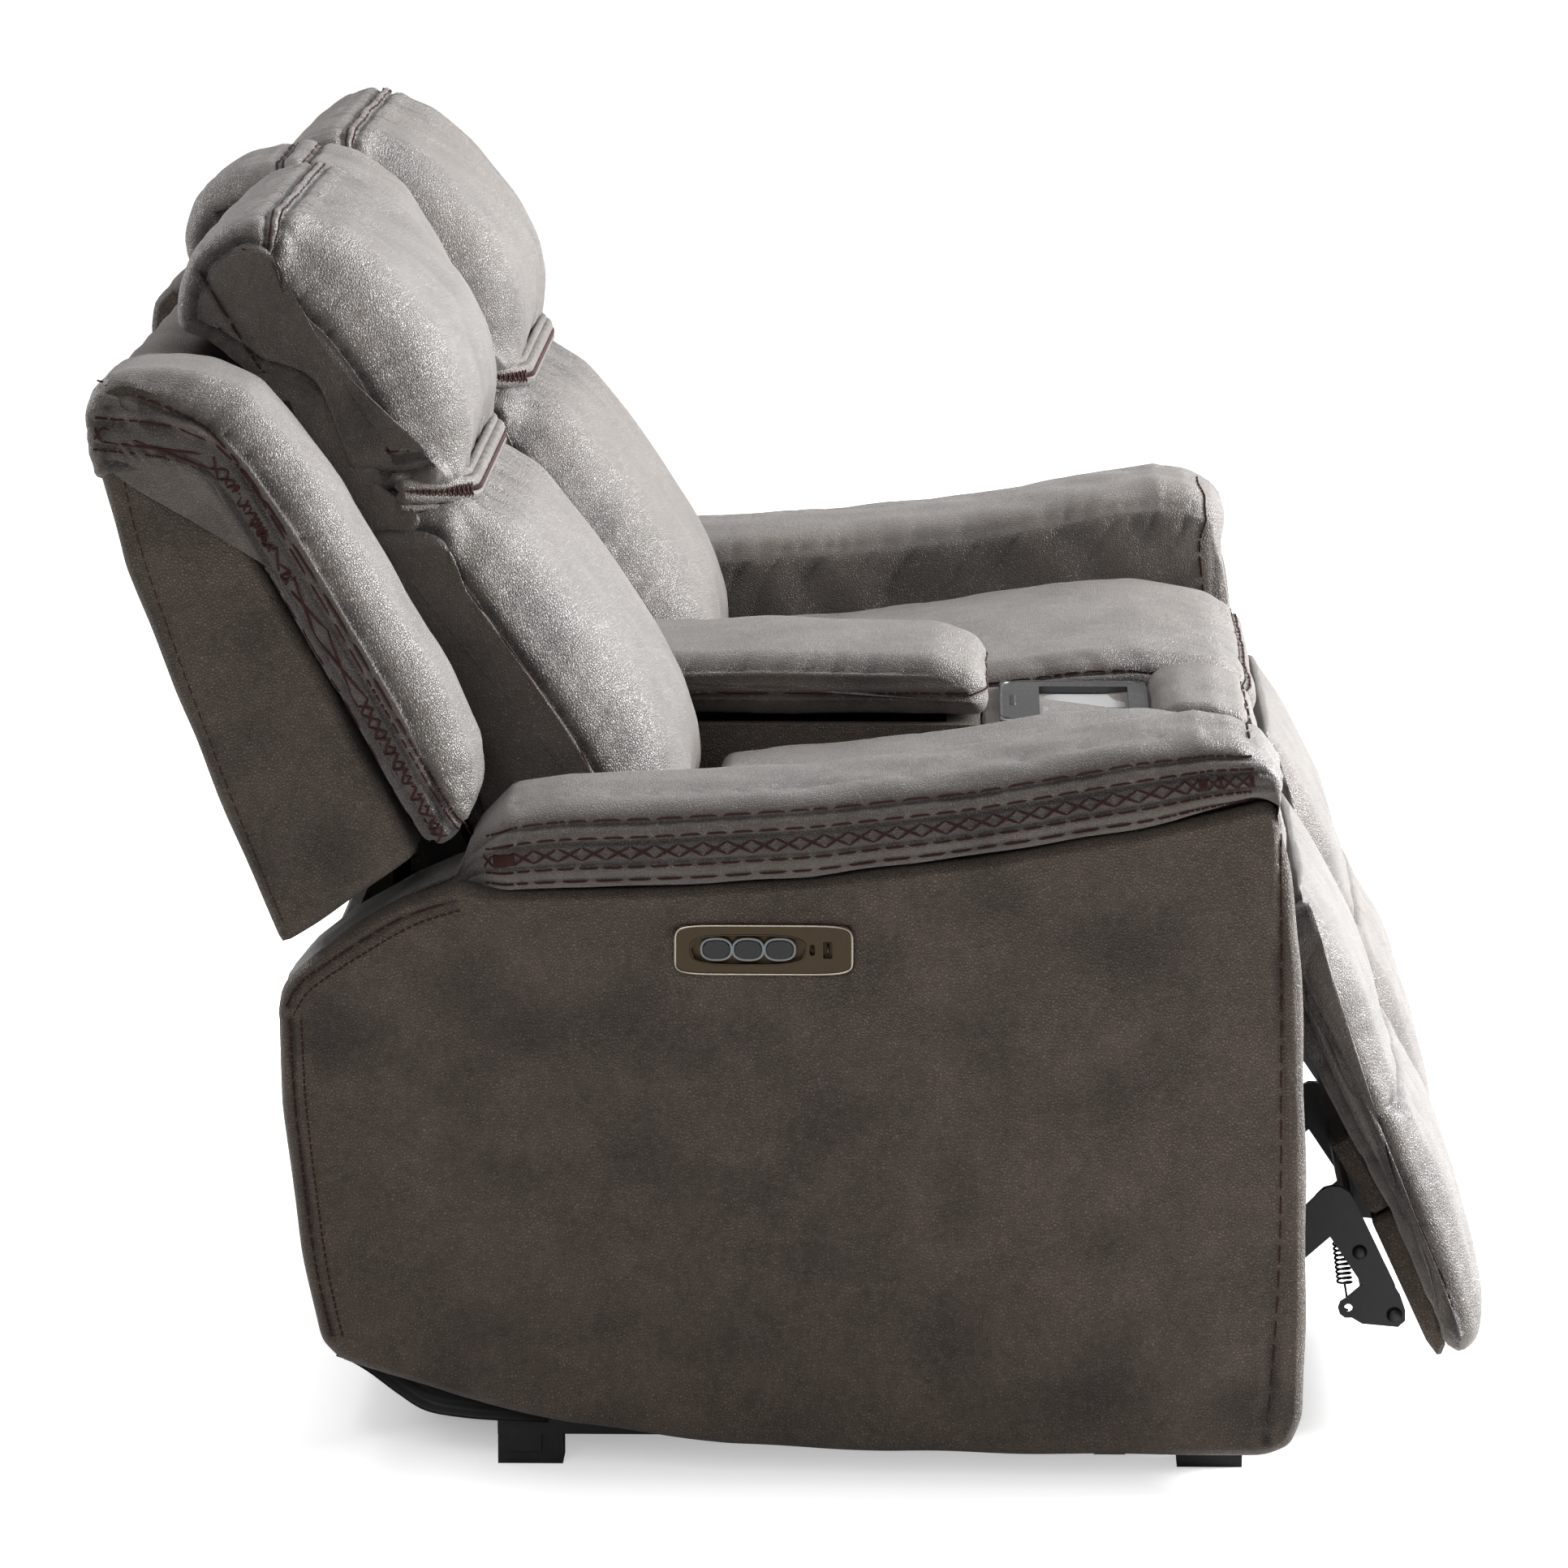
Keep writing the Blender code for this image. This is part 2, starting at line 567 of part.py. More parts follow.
def make_linkage(seat):
    """The lift links hang from the carriage, the swing links reach forward to the ottoman links' discs."""
    tube_reach = seat.across(LIFT_X)
    lift = seat.prism("lift_linkage", bar_outline(LIFT_PIVOT, LIFT_ELBOW, 0.016, LINK_ROUND), LIFT_X, LIFT_X + PLATE, BLACK_STEEL)
    mirror = seat.prism("mirror", bar_outline(LIFT_PIVOT, LIFT_ELBOW, 0.016, LINK_ROUND),
                        tube_reach, tube_reach - PLATE, BLACK_STEEL)
    torque = seat.tube("torque", LIFT_X + PLATE / 2, tube_reach - PLATE / 2, LIFT_PIVOT, TORQUE_RADIUS, BLACK_STEEL, 16)
    lean = math.radians(25.0)
    crank_end = (LIFT_PIVOT[0] + CRANK_LENGTH * math.sin(lean), LIFT_PIVOT[1] - CRANK_LENGTH * math.cos(lean))
    cranks = []
    for offset in (-0.013, 0.013):
        middle = SEAT_MIDDLE + offset
        crank = seat.prism("crank", bar_outline(LIFT_PIVOT, crank_end, 0.018, LINK_ROUND),
                           middle - PLATE / 2, middle + PLATE / 2, BLACK_STEEL)
        cranks.append(crank)
    unite(lift, mirror, torque, *cranks)

    swing_shape = bar_outline(LIFT_ELBOW, LINK_DISC, LINK_ROUND, DISC_ROUND)
    swing = seat.pair_of_bars("swing_linkage", swing_shape, SWING_X, SWING_X + PLATE, LIFT_ELBOW, 0.008, BLACK_STEEL)

    ottoman_shape = bar_outline(LINK_DISC, BRACKET_PIVOT, DISC_ROUND, LINK_ROUND)
    ottoman = seat.prism("ottoman_linkage", ottoman_shape, OTTOMAN_X, OTTOMAN_X + PLATE, BLACK_STEEL)
    other = seat.prism("other", ottoman_shape, seat.across(OTTOMAN_X), seat.across(OTTOMAN_X + PLATE), BLACK_STEEL)
    brace_at = ((LINK_DISC[0] * 0.55 + BRACKET_PIVOT[0] * 0.45), (LINK_DISC[1] * 0.55 + BRACKET_PIVOT[1] * 0.45))
    brace = seat.tube("brace", OTTOMAN_X + PLATE / 2, seat.across(OTTOMAN_X + PLATE / 2), brace_at, 0.006, BLACK_STEEL, 10)
    unite(ottoman, other, brace)
    return lift, swing, ottoman, crank_end


def bracket_outline():
    """The three-cornered plate under the lower board, with a nose for the spring's hook."""
    nose = arc(SPRING_HOLE, 0.0095, 75, -110, 5)
    heel = outline((-0.0630, 0.0840), (-0.0960, 0.0810), (-0.1025, 0.0870), (-0.1025, 0.0965))
    shoulder = outline((-0.0975, 0.1110), (-0.0900, 0.1230), (-0.0780, 0.1290), (-0.0690, 0.1260))
    return nose + heel + shoulder


def make_footrest(seat):
    top = outline((0.024, 0.428), (-0.0005, 0.506))
    front = outline((-0.030, 0.447), (-0.064, 0.378), (-0.090, 0.310), (-0.096, 0.298), (-0.130, 0.225))
    toe = outline((-0.156, 0.153), (-0.170, 0.100), (-0.166, 0.072), (-0.150, 0.060))
    rear = outline((-0.1415, 0.066), (-0.131, 0.102), (-0.090, 0.194), (-0.050, 0.267), (-0.012, 0.345))
    pad = seat.prism("footrest_pad", (top + front + toe + rear)[::-1], SEAT_INNER, SEAT_OUTER, LEATHER)
    soften(pad, 0.014, 2, 62)

    board_far = BRACKET_X - SWING_GAP
    board_near = seat.across(board_far)
    rear_line = rear[1:4]
    upper = Vector(rear_line[2]) + Vector((0.0, -0.006))
    corner = Vector(rear_line[1])
    down = (corner - upper).normalized()
    behind = Vector((-down.y, down.x))
    gap = TOUCH * 2
    mid_shape = [upper + behind * gap, upper + behind * BOARD, corner + behind * BOARD, corner + behind * gap]
    mid = seat.prism("mid_board", [tuple(p) for p in mid_shape], board_near, board_far, LEATHER)
    soften(mid, 0.004, 1)
    low_shape = outline((-0.0915, 0.1885), (-0.0705, 0.1790), (-0.1220, 0.0670), (-0.1345, 0.0500), (-0.1400, 0.0630))
    low_shape.append(side(-0.1300, 0.1010))
    lower = seat.prism("ottoman_board", low_shape, board_near, board_far, LEATHER)
    soften(lower, 0.004, 1)

    plate_shape = bracket_outline()
    bracket = seat.prism("ottoman_bracket", plate_shape, BRACKET_X, BRACKET_X + PLATE, BLACK_STEEL)
    other = seat.prism("other", plate_shape, seat.across(BRACKET_X), seat.across(BRACKET_X + PLATE), BLACK_STEEL)
    cross_at = side(-0.0700, 0.1020)
    cross = seat.tube("cross", BRACKET_X + PLATE / 2, seat.across(BRACKET_X + PLATE / 2), cross_at, 0.006, BLACK_STEEL, 10)
    unite(bracket, other, cross)
    hole = seat.tube("hole", 0, HALF_WIDTH, SPRING_HOLE, PIVOT_HOLE, BLACK_STEEL, 10)
    cut(bracket, hole)
    spring = make_spring(seat)
    return pad, mid, lower, bracket, spring


def make_spring(seat):
    """A close-wound extension spring: a helix with a straight lead to each end."""
    start, end = Vector(SPRING_TOP), Vector((SPRING_HOLE[0], SPRING_HOLE[1] + 0.016))
    along = end - start
    length = along.length
    along.normalize()
    across = Vector((-along.y, along.x))
    x_middle = seat.x(BRACKET_X - SPRING_RADIUS - WIRE_RADIUS - SWING_GAP)
    points = []
    count = SPRING_TURNS * 8
    for index in range(count + 1):
        angle = 2 * math.pi * index / 8
        place = start + along * (length * index / count) + across * (SPRING_RADIUS * math.cos(angle))
        points.append((x_middle + SPRING_RADIUS * math.sin(angle), place.x, place.y))
    curve = bpy.data.curves.new(seat.name("ottoman_spring"), "CURVE")
    curve.dimensions = "3D"
    curve.bevel_depth = WIRE_RADIUS
    curve.bevel_resolution = 0
    curve.use_fill_caps = True
    spline = curve.splines.new("POLY")
    spline.points.add(len(points) - 1)
    for point, place in zip(spline.points, points):
        point.co = (*place, 1.0)
    holder = bpy.data.objects.new("holder", curve)
    bpy.context.scene.collection.objects.link(holder)
    bpy.context.view_layer.update()
    graph = bpy.context.evaluated_depsgraph_get()
    mesh = bpy.data.meshes.new_from_object(holder.evaluated_get(graph))
    bpy.data.objects.remove(holder)
    return new_object(seat.name("ottoman_spring"), mesh, SPRING_STEEL)


def make_actuator(seat, crank_end):
    """The footrest motor: a tube with a gear case at its rear, and the rod that it pushes out."""
    start = Vector(ACTUATOR_PIVOT)
    heading = (Vector(crank_end) - start).normalized()
    reach = (Vector(crank_end) - start).length

    def at(distance):
        place = start + heading * distance
        return (seat.x(SEAT_MIDDLE), place.x, place.y)

    body = rod(seat.name("actuator_body"), at(0.012), at(reach * 0.70), BODY_RADIUS, BLACK_STEEL, 16)
    bore = rod("bore", at(0.045), at(reach), ROD_RADIUS + BORE_CLEARANCE, BLACK_STEEL, 12)
    case_low, case_high = start.y - 0.024, start.y + 0.022
    case = seat.box("case", CASE_NEAR, CASE_FAR, (start.x - 0.060, start.x + 0.014), (case_low, case_high), BLACK_STEEL)
    unite(body, case)
    cut(body, bore)
    rod_start, rod_end = reach * 0.30, reach
    piston = rod(seat.name("actuator_rod"), at(rod_start), at(rod_end - 0.004), ROD_RADIUS, ROD_STEEL, 12)
    eye = seat.tube("eye", SEAT_MIDDLE - 0.009, SEAT_MIDDLE + 0.009, crank_end, 0.013, ROD_STEEL, 14)
    unite(piston, eye)
    return body, piston


def make_back(seat):
    board_shape = outline((0.724, 0.468), (0.905, 0.935), (0.944, 0.935), (0.764, 0.468))
    board = seat.prism("back_frame", board_shape, CONSOLE_EDGE + SHELL_WALL + 0.0015, SEAT_OUTER - 0.006, PLYWOOD)
    hinge_far = SIDE_PLATE_X + SWING_GAP + PLATE + 0.002
    arm_shape = bar_outline(RECLINE_PIVOT, side(0.757, 0.495), 0.020, 0.016)
    arms = [seat.prism("arm", arm_shape, hinge_far - PLATE - 0.002, hinge_far, BLACK_STEEL)]
    near_arm = seat.across(hinge_far)
    arms.append(seat.prism("arm", arm_shape, near_arm, near_arm + PLATE + 0.002, BLACK_STEEL))
    unite(board, *arms)

    rear_line = outline((0.897, 0.482), (0.963, 0.641), (1.031, 0.818), (1.052, 0.905), (1.060, 0.958), (1.050, 0.978))
    shell_shape = outline((0.777, 0.567)) + rear_line + outline((1.026, 0.985), (0.992, 0.972), (0.972, 0.930), (0.952, 0.890))
    shell = seat.prism("back_shell", shell_shape, CONSOLE_EDGE + 0.0015, PANEL_OUTER, LEATHER)
    cavity_shape = outline((0.760, 0.470), (0.866, 0.470), (0.932, 0.650), (1.000, 0.826), (1.022, 0.915), (1.026, 0.945))
    cavity_shape += outline((0.900, 0.945), (0.760, 0.600))
    cavity = seat.prism("cavity", cavity_shape, CONSOLE_EDGE + SHELL_WALL, PANEL_OUTER - SHELL_WALL, LEATHER)
    cut(shell, cavity)

    wing_front = outline((0.738, 0.586), (0.727, 0.612), (0.731, 0.649), (0.757, 0.706), (0.806, 0.791), (0.855, 0.875))
    wing_top = outline((0.893, 0.930), (0.924, 0.965), (0.966, 0.982), (0.985, 0.984))
    gap = COVER_GAP / 2
    seam = outline((0.986, 0.974), (0.966, 0.930), (0.945, 0.890), (0.771, 0.570), (0.757, 0.570))
    seam = [(y - gap / 2, z + gap / 2) for y, z in seam]
    wing = seat.prism("wing", wing_front + wing_top + seam, HALF_WIDTH - WING_WIDTH, HALF_WIDTH - 0.001, LEATHER)
    soften(wing, 0.018, 2, 62)

    lumbar_front = outline((0.752, 0.842), (0.742, 0.834), (0.710, 0.815), (0.675, 0.768), (0.638, 0.716), (0.600, 0.660))
    lumbar_low = outline((0.573, 0.613), (0.557, 0.568), (0.553, 0.530), (0.562, 0.500), (0.585, 0.484), (0.700, 0.476))
    lumbar_rear = outline((0.724, 0.4800), (0.862, 0.838))
    lumbar_rear = [(y - 0.003, z) for y, z in lumbar_rear]
    lumbar = seat.prism("back_cushion", lumbar_front + lumbar_low + lumbar_rear, SEAT_INNER, SEAT_OUTER, LEATHER)
    soften(lumbar, SOFT_ROUND, 2, 62)

    head_front = outline((0.7525, 0.852), (0.748, 0.903), (0.757, 0.945), (0.779, 0.990), (0.822, 1.045), (0.865, 1.086))
    head_top = outline((0.912, 1.104), (0.955, 1.098), (0.990, 1.072), (1.006, 1.032), (1.007, 0.994))
    head_rear = outline((0.985, 0.990), (0.940, 0.957), (0.895, 0.944), (0.862, 0.850))
    head = seat.prism("headrest_cushion", head_front + head_top + head_rear, SEAT_INNER, SEAT_OUTER, LEATHER)
    soften(head, SOFT_ROUND, 2, 62)
    return board, shell, wing, lumbar, head


def make_console():
    edge = CONSOLE_EDGE - 0.001
    low, step = side(0, 0.050)[1], side(0, 0.500)[1]
    shape = outline((0.022, 0.050), (0.840, 0.050), (0.840, 0.440), (0.760, 0.552), (0.287, 0.552))
    shape += [(side(0.287, 0)[0], step), (side(0.022, 0)[0], step)]
    body = prism("console_body", shape, -edge, edge, LEATHER)
    bin_low = side(0, 0.552)[1] - BIN_DEPTH
    bin_room = box("bin", (-edge + CONSOLE_WALL, side(0.320, 0)[0], bin_low), (edge - CONSOLE_WALL, side(0.680, 0)[0], 1.0), LEATHER)
    under = box("under", (-edge + CONSOLE_WALL, side(0.060, 0)[0], low - 0.05),
                (edge - CONSOLE_WALL, side(0.800, 0)[0], bin_low - CONSOLE_WALL), LEATHER)
    cut(body, bin_room, under)

    roll = outline((0.122, 0.5490), (0.114, 0.566), (0.092, 0.577), (0.060, 0.577), (0.030, 0.563), (0.012, 0.530))
    roll += outline((0.012, 0.480), (0.0215, 0.480))
    roll.append((side(0.0215, 0)[0], step + TOUCH))
    roll += [(side(0.2865, 0)[0], step + TOUCH), side(0.2865, 0.549)]
    surround = prism("console_top_pad", roll[::-1], -edge, edge, LEATHER)
    middle = side(0.195, 0)[0]
    low_face = CHARGER_FLOOR + CHARGER_PROUD - CHARGER_THICKNESS
    half_x, half_y = CHARGER_WIDTH / 2, CHARGER_LENGTH / 2
    pocket = box("pocket", (-half_x - TOUCH, middle - half_y - TOUCH, low_face - TOUCH),
                 (half_x + TOUCH, middle + half_y + TOUCH, 1.0), LEATHER)
    cut(surround, pocket)
    tray = box("charging_tray", (-half_x, middle - half_y, low_face), (half_x, middle + half_y, CHARGER_FLOOR + CHARGER_PROUD), SILVER_PLASTIC)
    soften(tray, 0.003, 2)
    recess_middle = middle - 0.010
    recess = box("recess", (-PHONE_RECESS_WIDTH / 2, recess_middle - PHONE_RECESS_LENGTH / 2, CHARGER_FLOOR + CHARGER_PROUD - PHONE_RECESS_DEPTH),
                 (PHONE_RECESS_WIDTH / 2, recess_middle + PHONE_RECESS_LENGTH / 2, 1.0), SILVER_PLASTIC)
    cut(tray, recess)

    lid_shape = outline((0.281, 0.556), (0.700, 0.556), (0.700, 0.6165), (0.500, 0.6215), (0.330, 0.6185), (0.292, 0.602), (0.281, 0.585))
    lid = prism("console_lid", lid_shape, -edge + LID_OVERHANG, edge - LID_OVERHANG, LEATHER)
    soften(lid, 0.014, 2, 62)
    pivot = bpy.data.objects.new("console_lid_axis", None)
    pivot.location = (0, LID_PIVOT[0], LID_PIVOT[1])
    bpy.context.scene.collection.objects.link(pivot)
    hang(lid, pivot)

    front = outline((0.768, 0.560), (0.765, 0.640), (0.776, 0.760), (0.790, 0.860), (0.803, 0.948), (0.827, 1.004), (0.855, 1.052))
    top = outline((0.906, 1.090), (0.952, 1.100), (1.009, 1.088), (1.044, 1.062), (1.058, 1.020), (1.052, 0.990))
    rear = outline((1.004, 0.983), (0.990, 0.966), (0.840, 0.560))
    cushion = prism("console_back_cushion", front + top + rear, -edge + 0.001, edge - 0.001, LEATHER)
    soften(cushion, SOFT_ROUND, 2, 62)
    shell_front = outline((0.846, 0.556), (0.997, 0.962), (1.010, 0.977), (1.066, 0.980), (1.085, 0.962), (1.088, 0.932))
    shell_rear = outline((1.060, 0.818), (0.995, 0.641), (0.932, 0.482), (0.880, 0.470), (0.846, 0.470))
    shell = prism("console_back_shell", shell_front + shell_rear, -edge, edge, LEATHER)
    soften(shell, 0.008, 1, 60)
    return pivot


def make_seat(prefix, sign):
    seat = Seat(prefix, sign)
    make_arm(seat)
    make_mechanism(seat)
    platform, cushion = make_carriage(seat)
    lift, swing, ottoman, crank_end = make_linkage(seat)
    pad, mid, lower, bracket, spring = make_footrest(seat)
    body, piston = make_actuator(seat, crank_end)
    board, shell, wing, lumbar, head = make_back(seat)

    carriage = seat.pivot("carriage", side(0.30, 0.336), SEAT_MIDDLE, [platform, cushion])
    footrest = seat.pivot("footrest_axis", FOOTREST_PIVOT, SEAT_MIDDLE, [pad, mid, lower, bracket, spring])
    ottoman_axis = seat.pivot("ottoman_link_axis", BRACKET_PIVOT, SEAT_MIDDLE, [ottoman])
    lift_axis = seat.pivot("lift_axis", LIFT_PIVOT, SEAT_MIDDLE, [lift])
    swing_axis = seat.pivot("swing_axis", LIFT_ELBOW, SEAT_MIDDLE, [swing])
    actuator_axis = seat.pivot("actuator_axis", ACTUATOR_PIVOT, SEAT_MIDDLE, [body])
    rod_end = seat.pivot("actuator_rod_end", crank_end, SEAT_MIDDLE, [piston])
    recline = seat.pivot("recline_axis", RECLINE_PIVOT, SEAT_MIDDLE, [board, shell, wing, lumbar])
    headrest = seat.pivot("headrest_axis", HEADREST_PIVOT, SEAT_MIDDLE, [head])
    for child, parent in ((footrest, carriage), (lift_axis, carriage), (actuator_axis, carriage), (recline, carriage),
                          (ottoman_axis, footrest), (swing_axis, lift_axis), (rod_end, actuator_axis), (headrest, recline)):
        hang(child, parent)
    return seat


def centre_on_footprint():
    """Moves the whole model so that its origin is the middle of its footprint, on the floor."""
    bpy.context.view_layer.update()
    corners = []
    for obj in bpy.data.objects:
        if obj.type == "MESH":
            corners += [obj.matrix_world @ Vector(corner) for corner in obj.bound_box]
    middle = (min(c.y for c in corners) + max(c.y for c in corners)) / 2
    lowest = min(c.z for c in corners)
    for obj in bpy.data.objects:
        if obj.parent is None:
            obj.location += Vector((0, -middle, -lowest))
    bpy.context.view_layer.update()


def main():
    for obj in list(bpy.data.objects):
        bpy.data.objects.remove(obj)
    make_base()
    make_console()
    for prefix, sign in (("right", -1), ("left", 1)):
        make_seat(prefix, sign)
    for obj in bpy.data.objects:
        if obj.type == "MESH":
            obj.data.shade_smooth()
            obj.data.set_sharp_from_angle(angle=math.radians(35))
    centre_on_footprint()


main()
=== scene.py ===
"""Visual model of a two-seat power recliner with a centre console.

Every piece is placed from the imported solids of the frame. The side view's outlines are drawn with
Y = 0 at the front of the arms, and `placed` moves them to the frame's own origin.
"""

from __future__ import annotations

import logging
import math
from dataclasses import dataclass, field
from enum import Enum
from typing import Callable, Sequence

import bmesh
import bpy
import numpy as np
from mathutils import Matrix, Vector


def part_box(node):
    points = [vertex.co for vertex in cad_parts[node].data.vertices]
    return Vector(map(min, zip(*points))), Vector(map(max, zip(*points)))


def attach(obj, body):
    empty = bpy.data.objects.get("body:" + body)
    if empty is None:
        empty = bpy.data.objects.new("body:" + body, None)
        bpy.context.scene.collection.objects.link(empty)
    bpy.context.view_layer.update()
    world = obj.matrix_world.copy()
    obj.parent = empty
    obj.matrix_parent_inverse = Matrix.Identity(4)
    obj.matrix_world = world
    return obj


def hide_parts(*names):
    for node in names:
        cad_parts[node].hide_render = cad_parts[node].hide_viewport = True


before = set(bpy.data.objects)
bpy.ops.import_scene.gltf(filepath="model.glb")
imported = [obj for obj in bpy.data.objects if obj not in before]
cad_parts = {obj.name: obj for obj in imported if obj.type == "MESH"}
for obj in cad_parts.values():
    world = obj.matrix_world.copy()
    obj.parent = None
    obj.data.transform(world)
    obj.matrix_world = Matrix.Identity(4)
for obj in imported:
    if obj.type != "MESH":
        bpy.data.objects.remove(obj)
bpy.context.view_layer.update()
LOG = logging.getLogger("loveseat")
Array = np.ndarray
Point = tuple[float, float]

FRONT_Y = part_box("right_side_panel")[0].y
HALF_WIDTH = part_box("left_arm_pad")[1].x
PANEL_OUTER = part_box("left_side_panel")[1].x
PANEL_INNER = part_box("left_side_panel")[0].x
SEAT_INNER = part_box("left_seat_cushion")[0].x
SEAT_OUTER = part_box("left_seat_cushion")[1].x

OUTLINE_POINTS = 1200  # samples round a pad's outline
CLOTH_STEP = 0.0125  # the coarse skin's step, metres
CLOTH_FRAMES = 20
SMOOTHING_ROUNDS = 9  # averaging passes over the cloth's movement
FULL_SHADE_DEPTH = 0.0028  # depth at which the painted shade in a groove is darkest, metres


class Side(Enum):
    """The sitter's side of the loveseat, with its sign along X."""

    RIGHT = -1
    LEFT = 1

    @property
    def prefix(self) -> str:
        """The word that the side's nodes and bodies start with."""
        return self.name.lower()


# ---- curves and fields


def placed(points: Sequence[Point]) -> Array:
    """Side-view points as drawn, moved to the frame's origin along Y.

    Args:
        points: (Y, Z) pairs in metres.

    Returns:
        An array of shape (n, 2).
    """
    return np.asarray(points, float) + np.array([FRONT_Y, 0.0])


def even(points: Array, count: int, closed: bool = False) -> Array:
    """A polyline read again at equal steps of its length.

    Args:
        points: the polyline, shape (n, d).
        count: how many points to return.
        closed: whether the last point joins the first.

    Returns:
        An array of shape (count, d).
    """
    line = np.vstack([points, points[:1]]) if closed else points
    length = np.concatenate([[0.0], np.cumsum(np.linalg.norm(np.diff(line, axis=0), axis=1))])
    places = np.linspace(0.0, length[-1], count, endpoint=not closed)
    return np.stack([np.interp(places, length, line[:, axis]) for axis in range(line.shape[1])], axis=1)


def blurred(values: Array, spread: float) -> Array:
    """Values around a closed loop, smoothed by a Gaussian whose spread is counted in samples.

    Args:
        values: shape (n, ...), closed along the first axis.
        spread: the Gaussian's spread in samples.

    Returns:
        Smoothed values of the same shape.
    """
    frequency = np.fft.fftfreq(len(values))
    filter_ = np.exp(-2.0 * (math.pi * frequency * spread) ** 2)
    shape = (-1,) + (1,) * (values.ndim - 1)
    return np.fft.ifft(np.fft.fft(values, axis=0) * filter_.reshape(shape), axis=0).real


def cubic(values: Array, places: Array, wanted: Array, period: float = 0.0) -> Array:
    """Catmull-Rom interpolation along the first axis of a table.

    Args:
        values: the table, shape (n, ...).
        places: where its rows lie, rising.
        wanted: where to read it.
        period: the loop's length if the first axis is closed, else 0.

    Returns:
        An array of shape (len(wanted), ...).
    """
    if period:
        values = np.concatenate([values[-2:], values, values[:3]])
        places = np.concatenate([places[-2:] - period, places, places[:3] + period])
        wanted = wanted % period
    index = np.clip(np.searchsorted(places, wanted, side="right") - 1, 0, len(places) - 2)
    share = (wanted - places[index]) / (places[index + 1] - places[index])
    share = np.clip(share, 0.0, 1.0).reshape((-1,) + (1,) * (values.ndim - 1))
    before, after = np.clip(index - 1, 0, None), np.clip(index + 2, None, len(places) - 1)
    a, b, c, d = values[before], values[index], values[index + 1], values[after]
    return 0.5 * (2 * b + (c - a) * share + (2 * a - 5 * b + 4 * c - d) * share**2
                  + (3 * b - a - 3 * c + d) * share**3)


def uneven(places: Array, seed: int, waves: int = 5) -> Array:
    """A wandering wave of about unit height and unit pitch: a sum of sines of near frequencies.

    Args:
        places: where to read it, in pitches.
        seed: the seed of its frequencies and phases.
        waves: how many sines.

    Returns:
        Values of about -1 to 1, of the shape of places.
    """
    chance = np.random.default_rng(seed)
    total = np.zeros_like(places, dtype=float)
    for rate, phase in zip(chance.uniform(0.45, 1.35, waves), chance.uniform(0, 2 * math.pi, waves)):
        total += np.sin(2 * math.pi * rate * places + phase)
    return total / math.sqrt(waves * 0.5) / 1.6


def swell(points: Array, pitch: float, seed: int, waves: int = 9) -> Array:
    """A slow swell over a surface: a sum of plane waves in random directions.

    Args:
        points: shape (..., 3), metres.
        pitch: the usual distance between crests.
        seed: the seed of the directions and phases.
        waves: how many waves.

    Returns:
        Values of about -1 to 1, of the shape of points less its last axis.
    """
    chance = np.random.default_rng(seed)
    ways = chance.normal(size=(waves, 3))
    ways /= np.linalg.norm(ways, axis=1, keepdims=True)
    rates = 2 * math.pi / pitch * chance.uniform(0.6, 1.6, waves)
    phases = chance.uniform(0, 2 * math.pi, waves)
    return np.sin(points @ (ways * rates[:, None]).T + phases).sum(-1) / math.sqrt(waves * 0.5) / 1.8


def gathers(along: Array, away: Array, depth: float, reach: float, pitch: float, seed: int) -> Array:
    """Creases that run out from a seam: narrow valleys at an uneven pitch along it, fading with distance.

    Args:
        along: the place along the seam, metres.
        away: the distance from the seam, metres.
        depth: how deep the creases are at the seam.
        reach: the distance over which they fade to a third.
        pitch: the usual distance between creases.
        seed: the seed of the unevenness.

    Returns:
        Heights, at most zero, of the arrays' shape.
    """
    drift = 0.25 * pitch * uneven(away / (3 * pitch) + along, seed + 7)
    wave = uneven((along + drift) / (2 * pitch), seed)
    longer = 0.55 + 0.45 * uneven(along / (5 * pitch), seed + 3)
    return -depth * np.exp(-away / (reach * np.clip(longer, 0.25, 1.4))) * (1 - np.clip(np.abs(wave), 0, 1)) ** 3


def valley(away: Array, depth: float, width: float) -> Array:
    """A seam's groove with a soft lip on each side of it.

    Args:
        away: the distance from the seam, metres.
        depth: the groove's depth.
        width: its half width.

    Returns:
        Heights of the array's shape.
    """
    away = np.abs(away)
    lip = 0.35 * depth * np.exp(-(((away - 2.6 * width) / (1.6 * width)) ** 2))
    return lip - depth * np.exp(-((away / width) ** 2))


def away_from(points: Array, line: Array) -> Array:
    """The distance from each point to a polyline.

    Args:
        points: shape (n, d).
        line: shape (m, d).

    Returns:
        Distances, shape (n,).
    """
    start, step = line[:-1], np.diff(line, axis=0)
    best = np.full(len(points), np.inf)
    for origin, run in zip(start, step):
        share = np.clip((points - origin) @ run / max(run @ run, 1e-12), 0, 1)
        best = np.minimum(best, np.linalg.norm(points - origin - share[:, None] * run, axis=1))
    return best


def grid_normals(points: Array, around: bool = True) -> Array:
    """Unit normals of a grid of points, from the cross product of its two central differences.

    Args:
        points: shape (rows, columns, 3).
        around: whether the columns close into a loop.

    Returns:
        Normals of the same shape, all on the side that the two differences turn to.
    """
    down = np.gradient(points, axis=0)
    over = (np.roll(points, -1, 1) - np.roll(points, 1, 1)) if around else np.gradient(points, axis=1)
    normal = np.cross(over, down)
    return normal / np.maximum(np.linalg.norm(normal, axis=-1, keepdims=True), 1e-9)


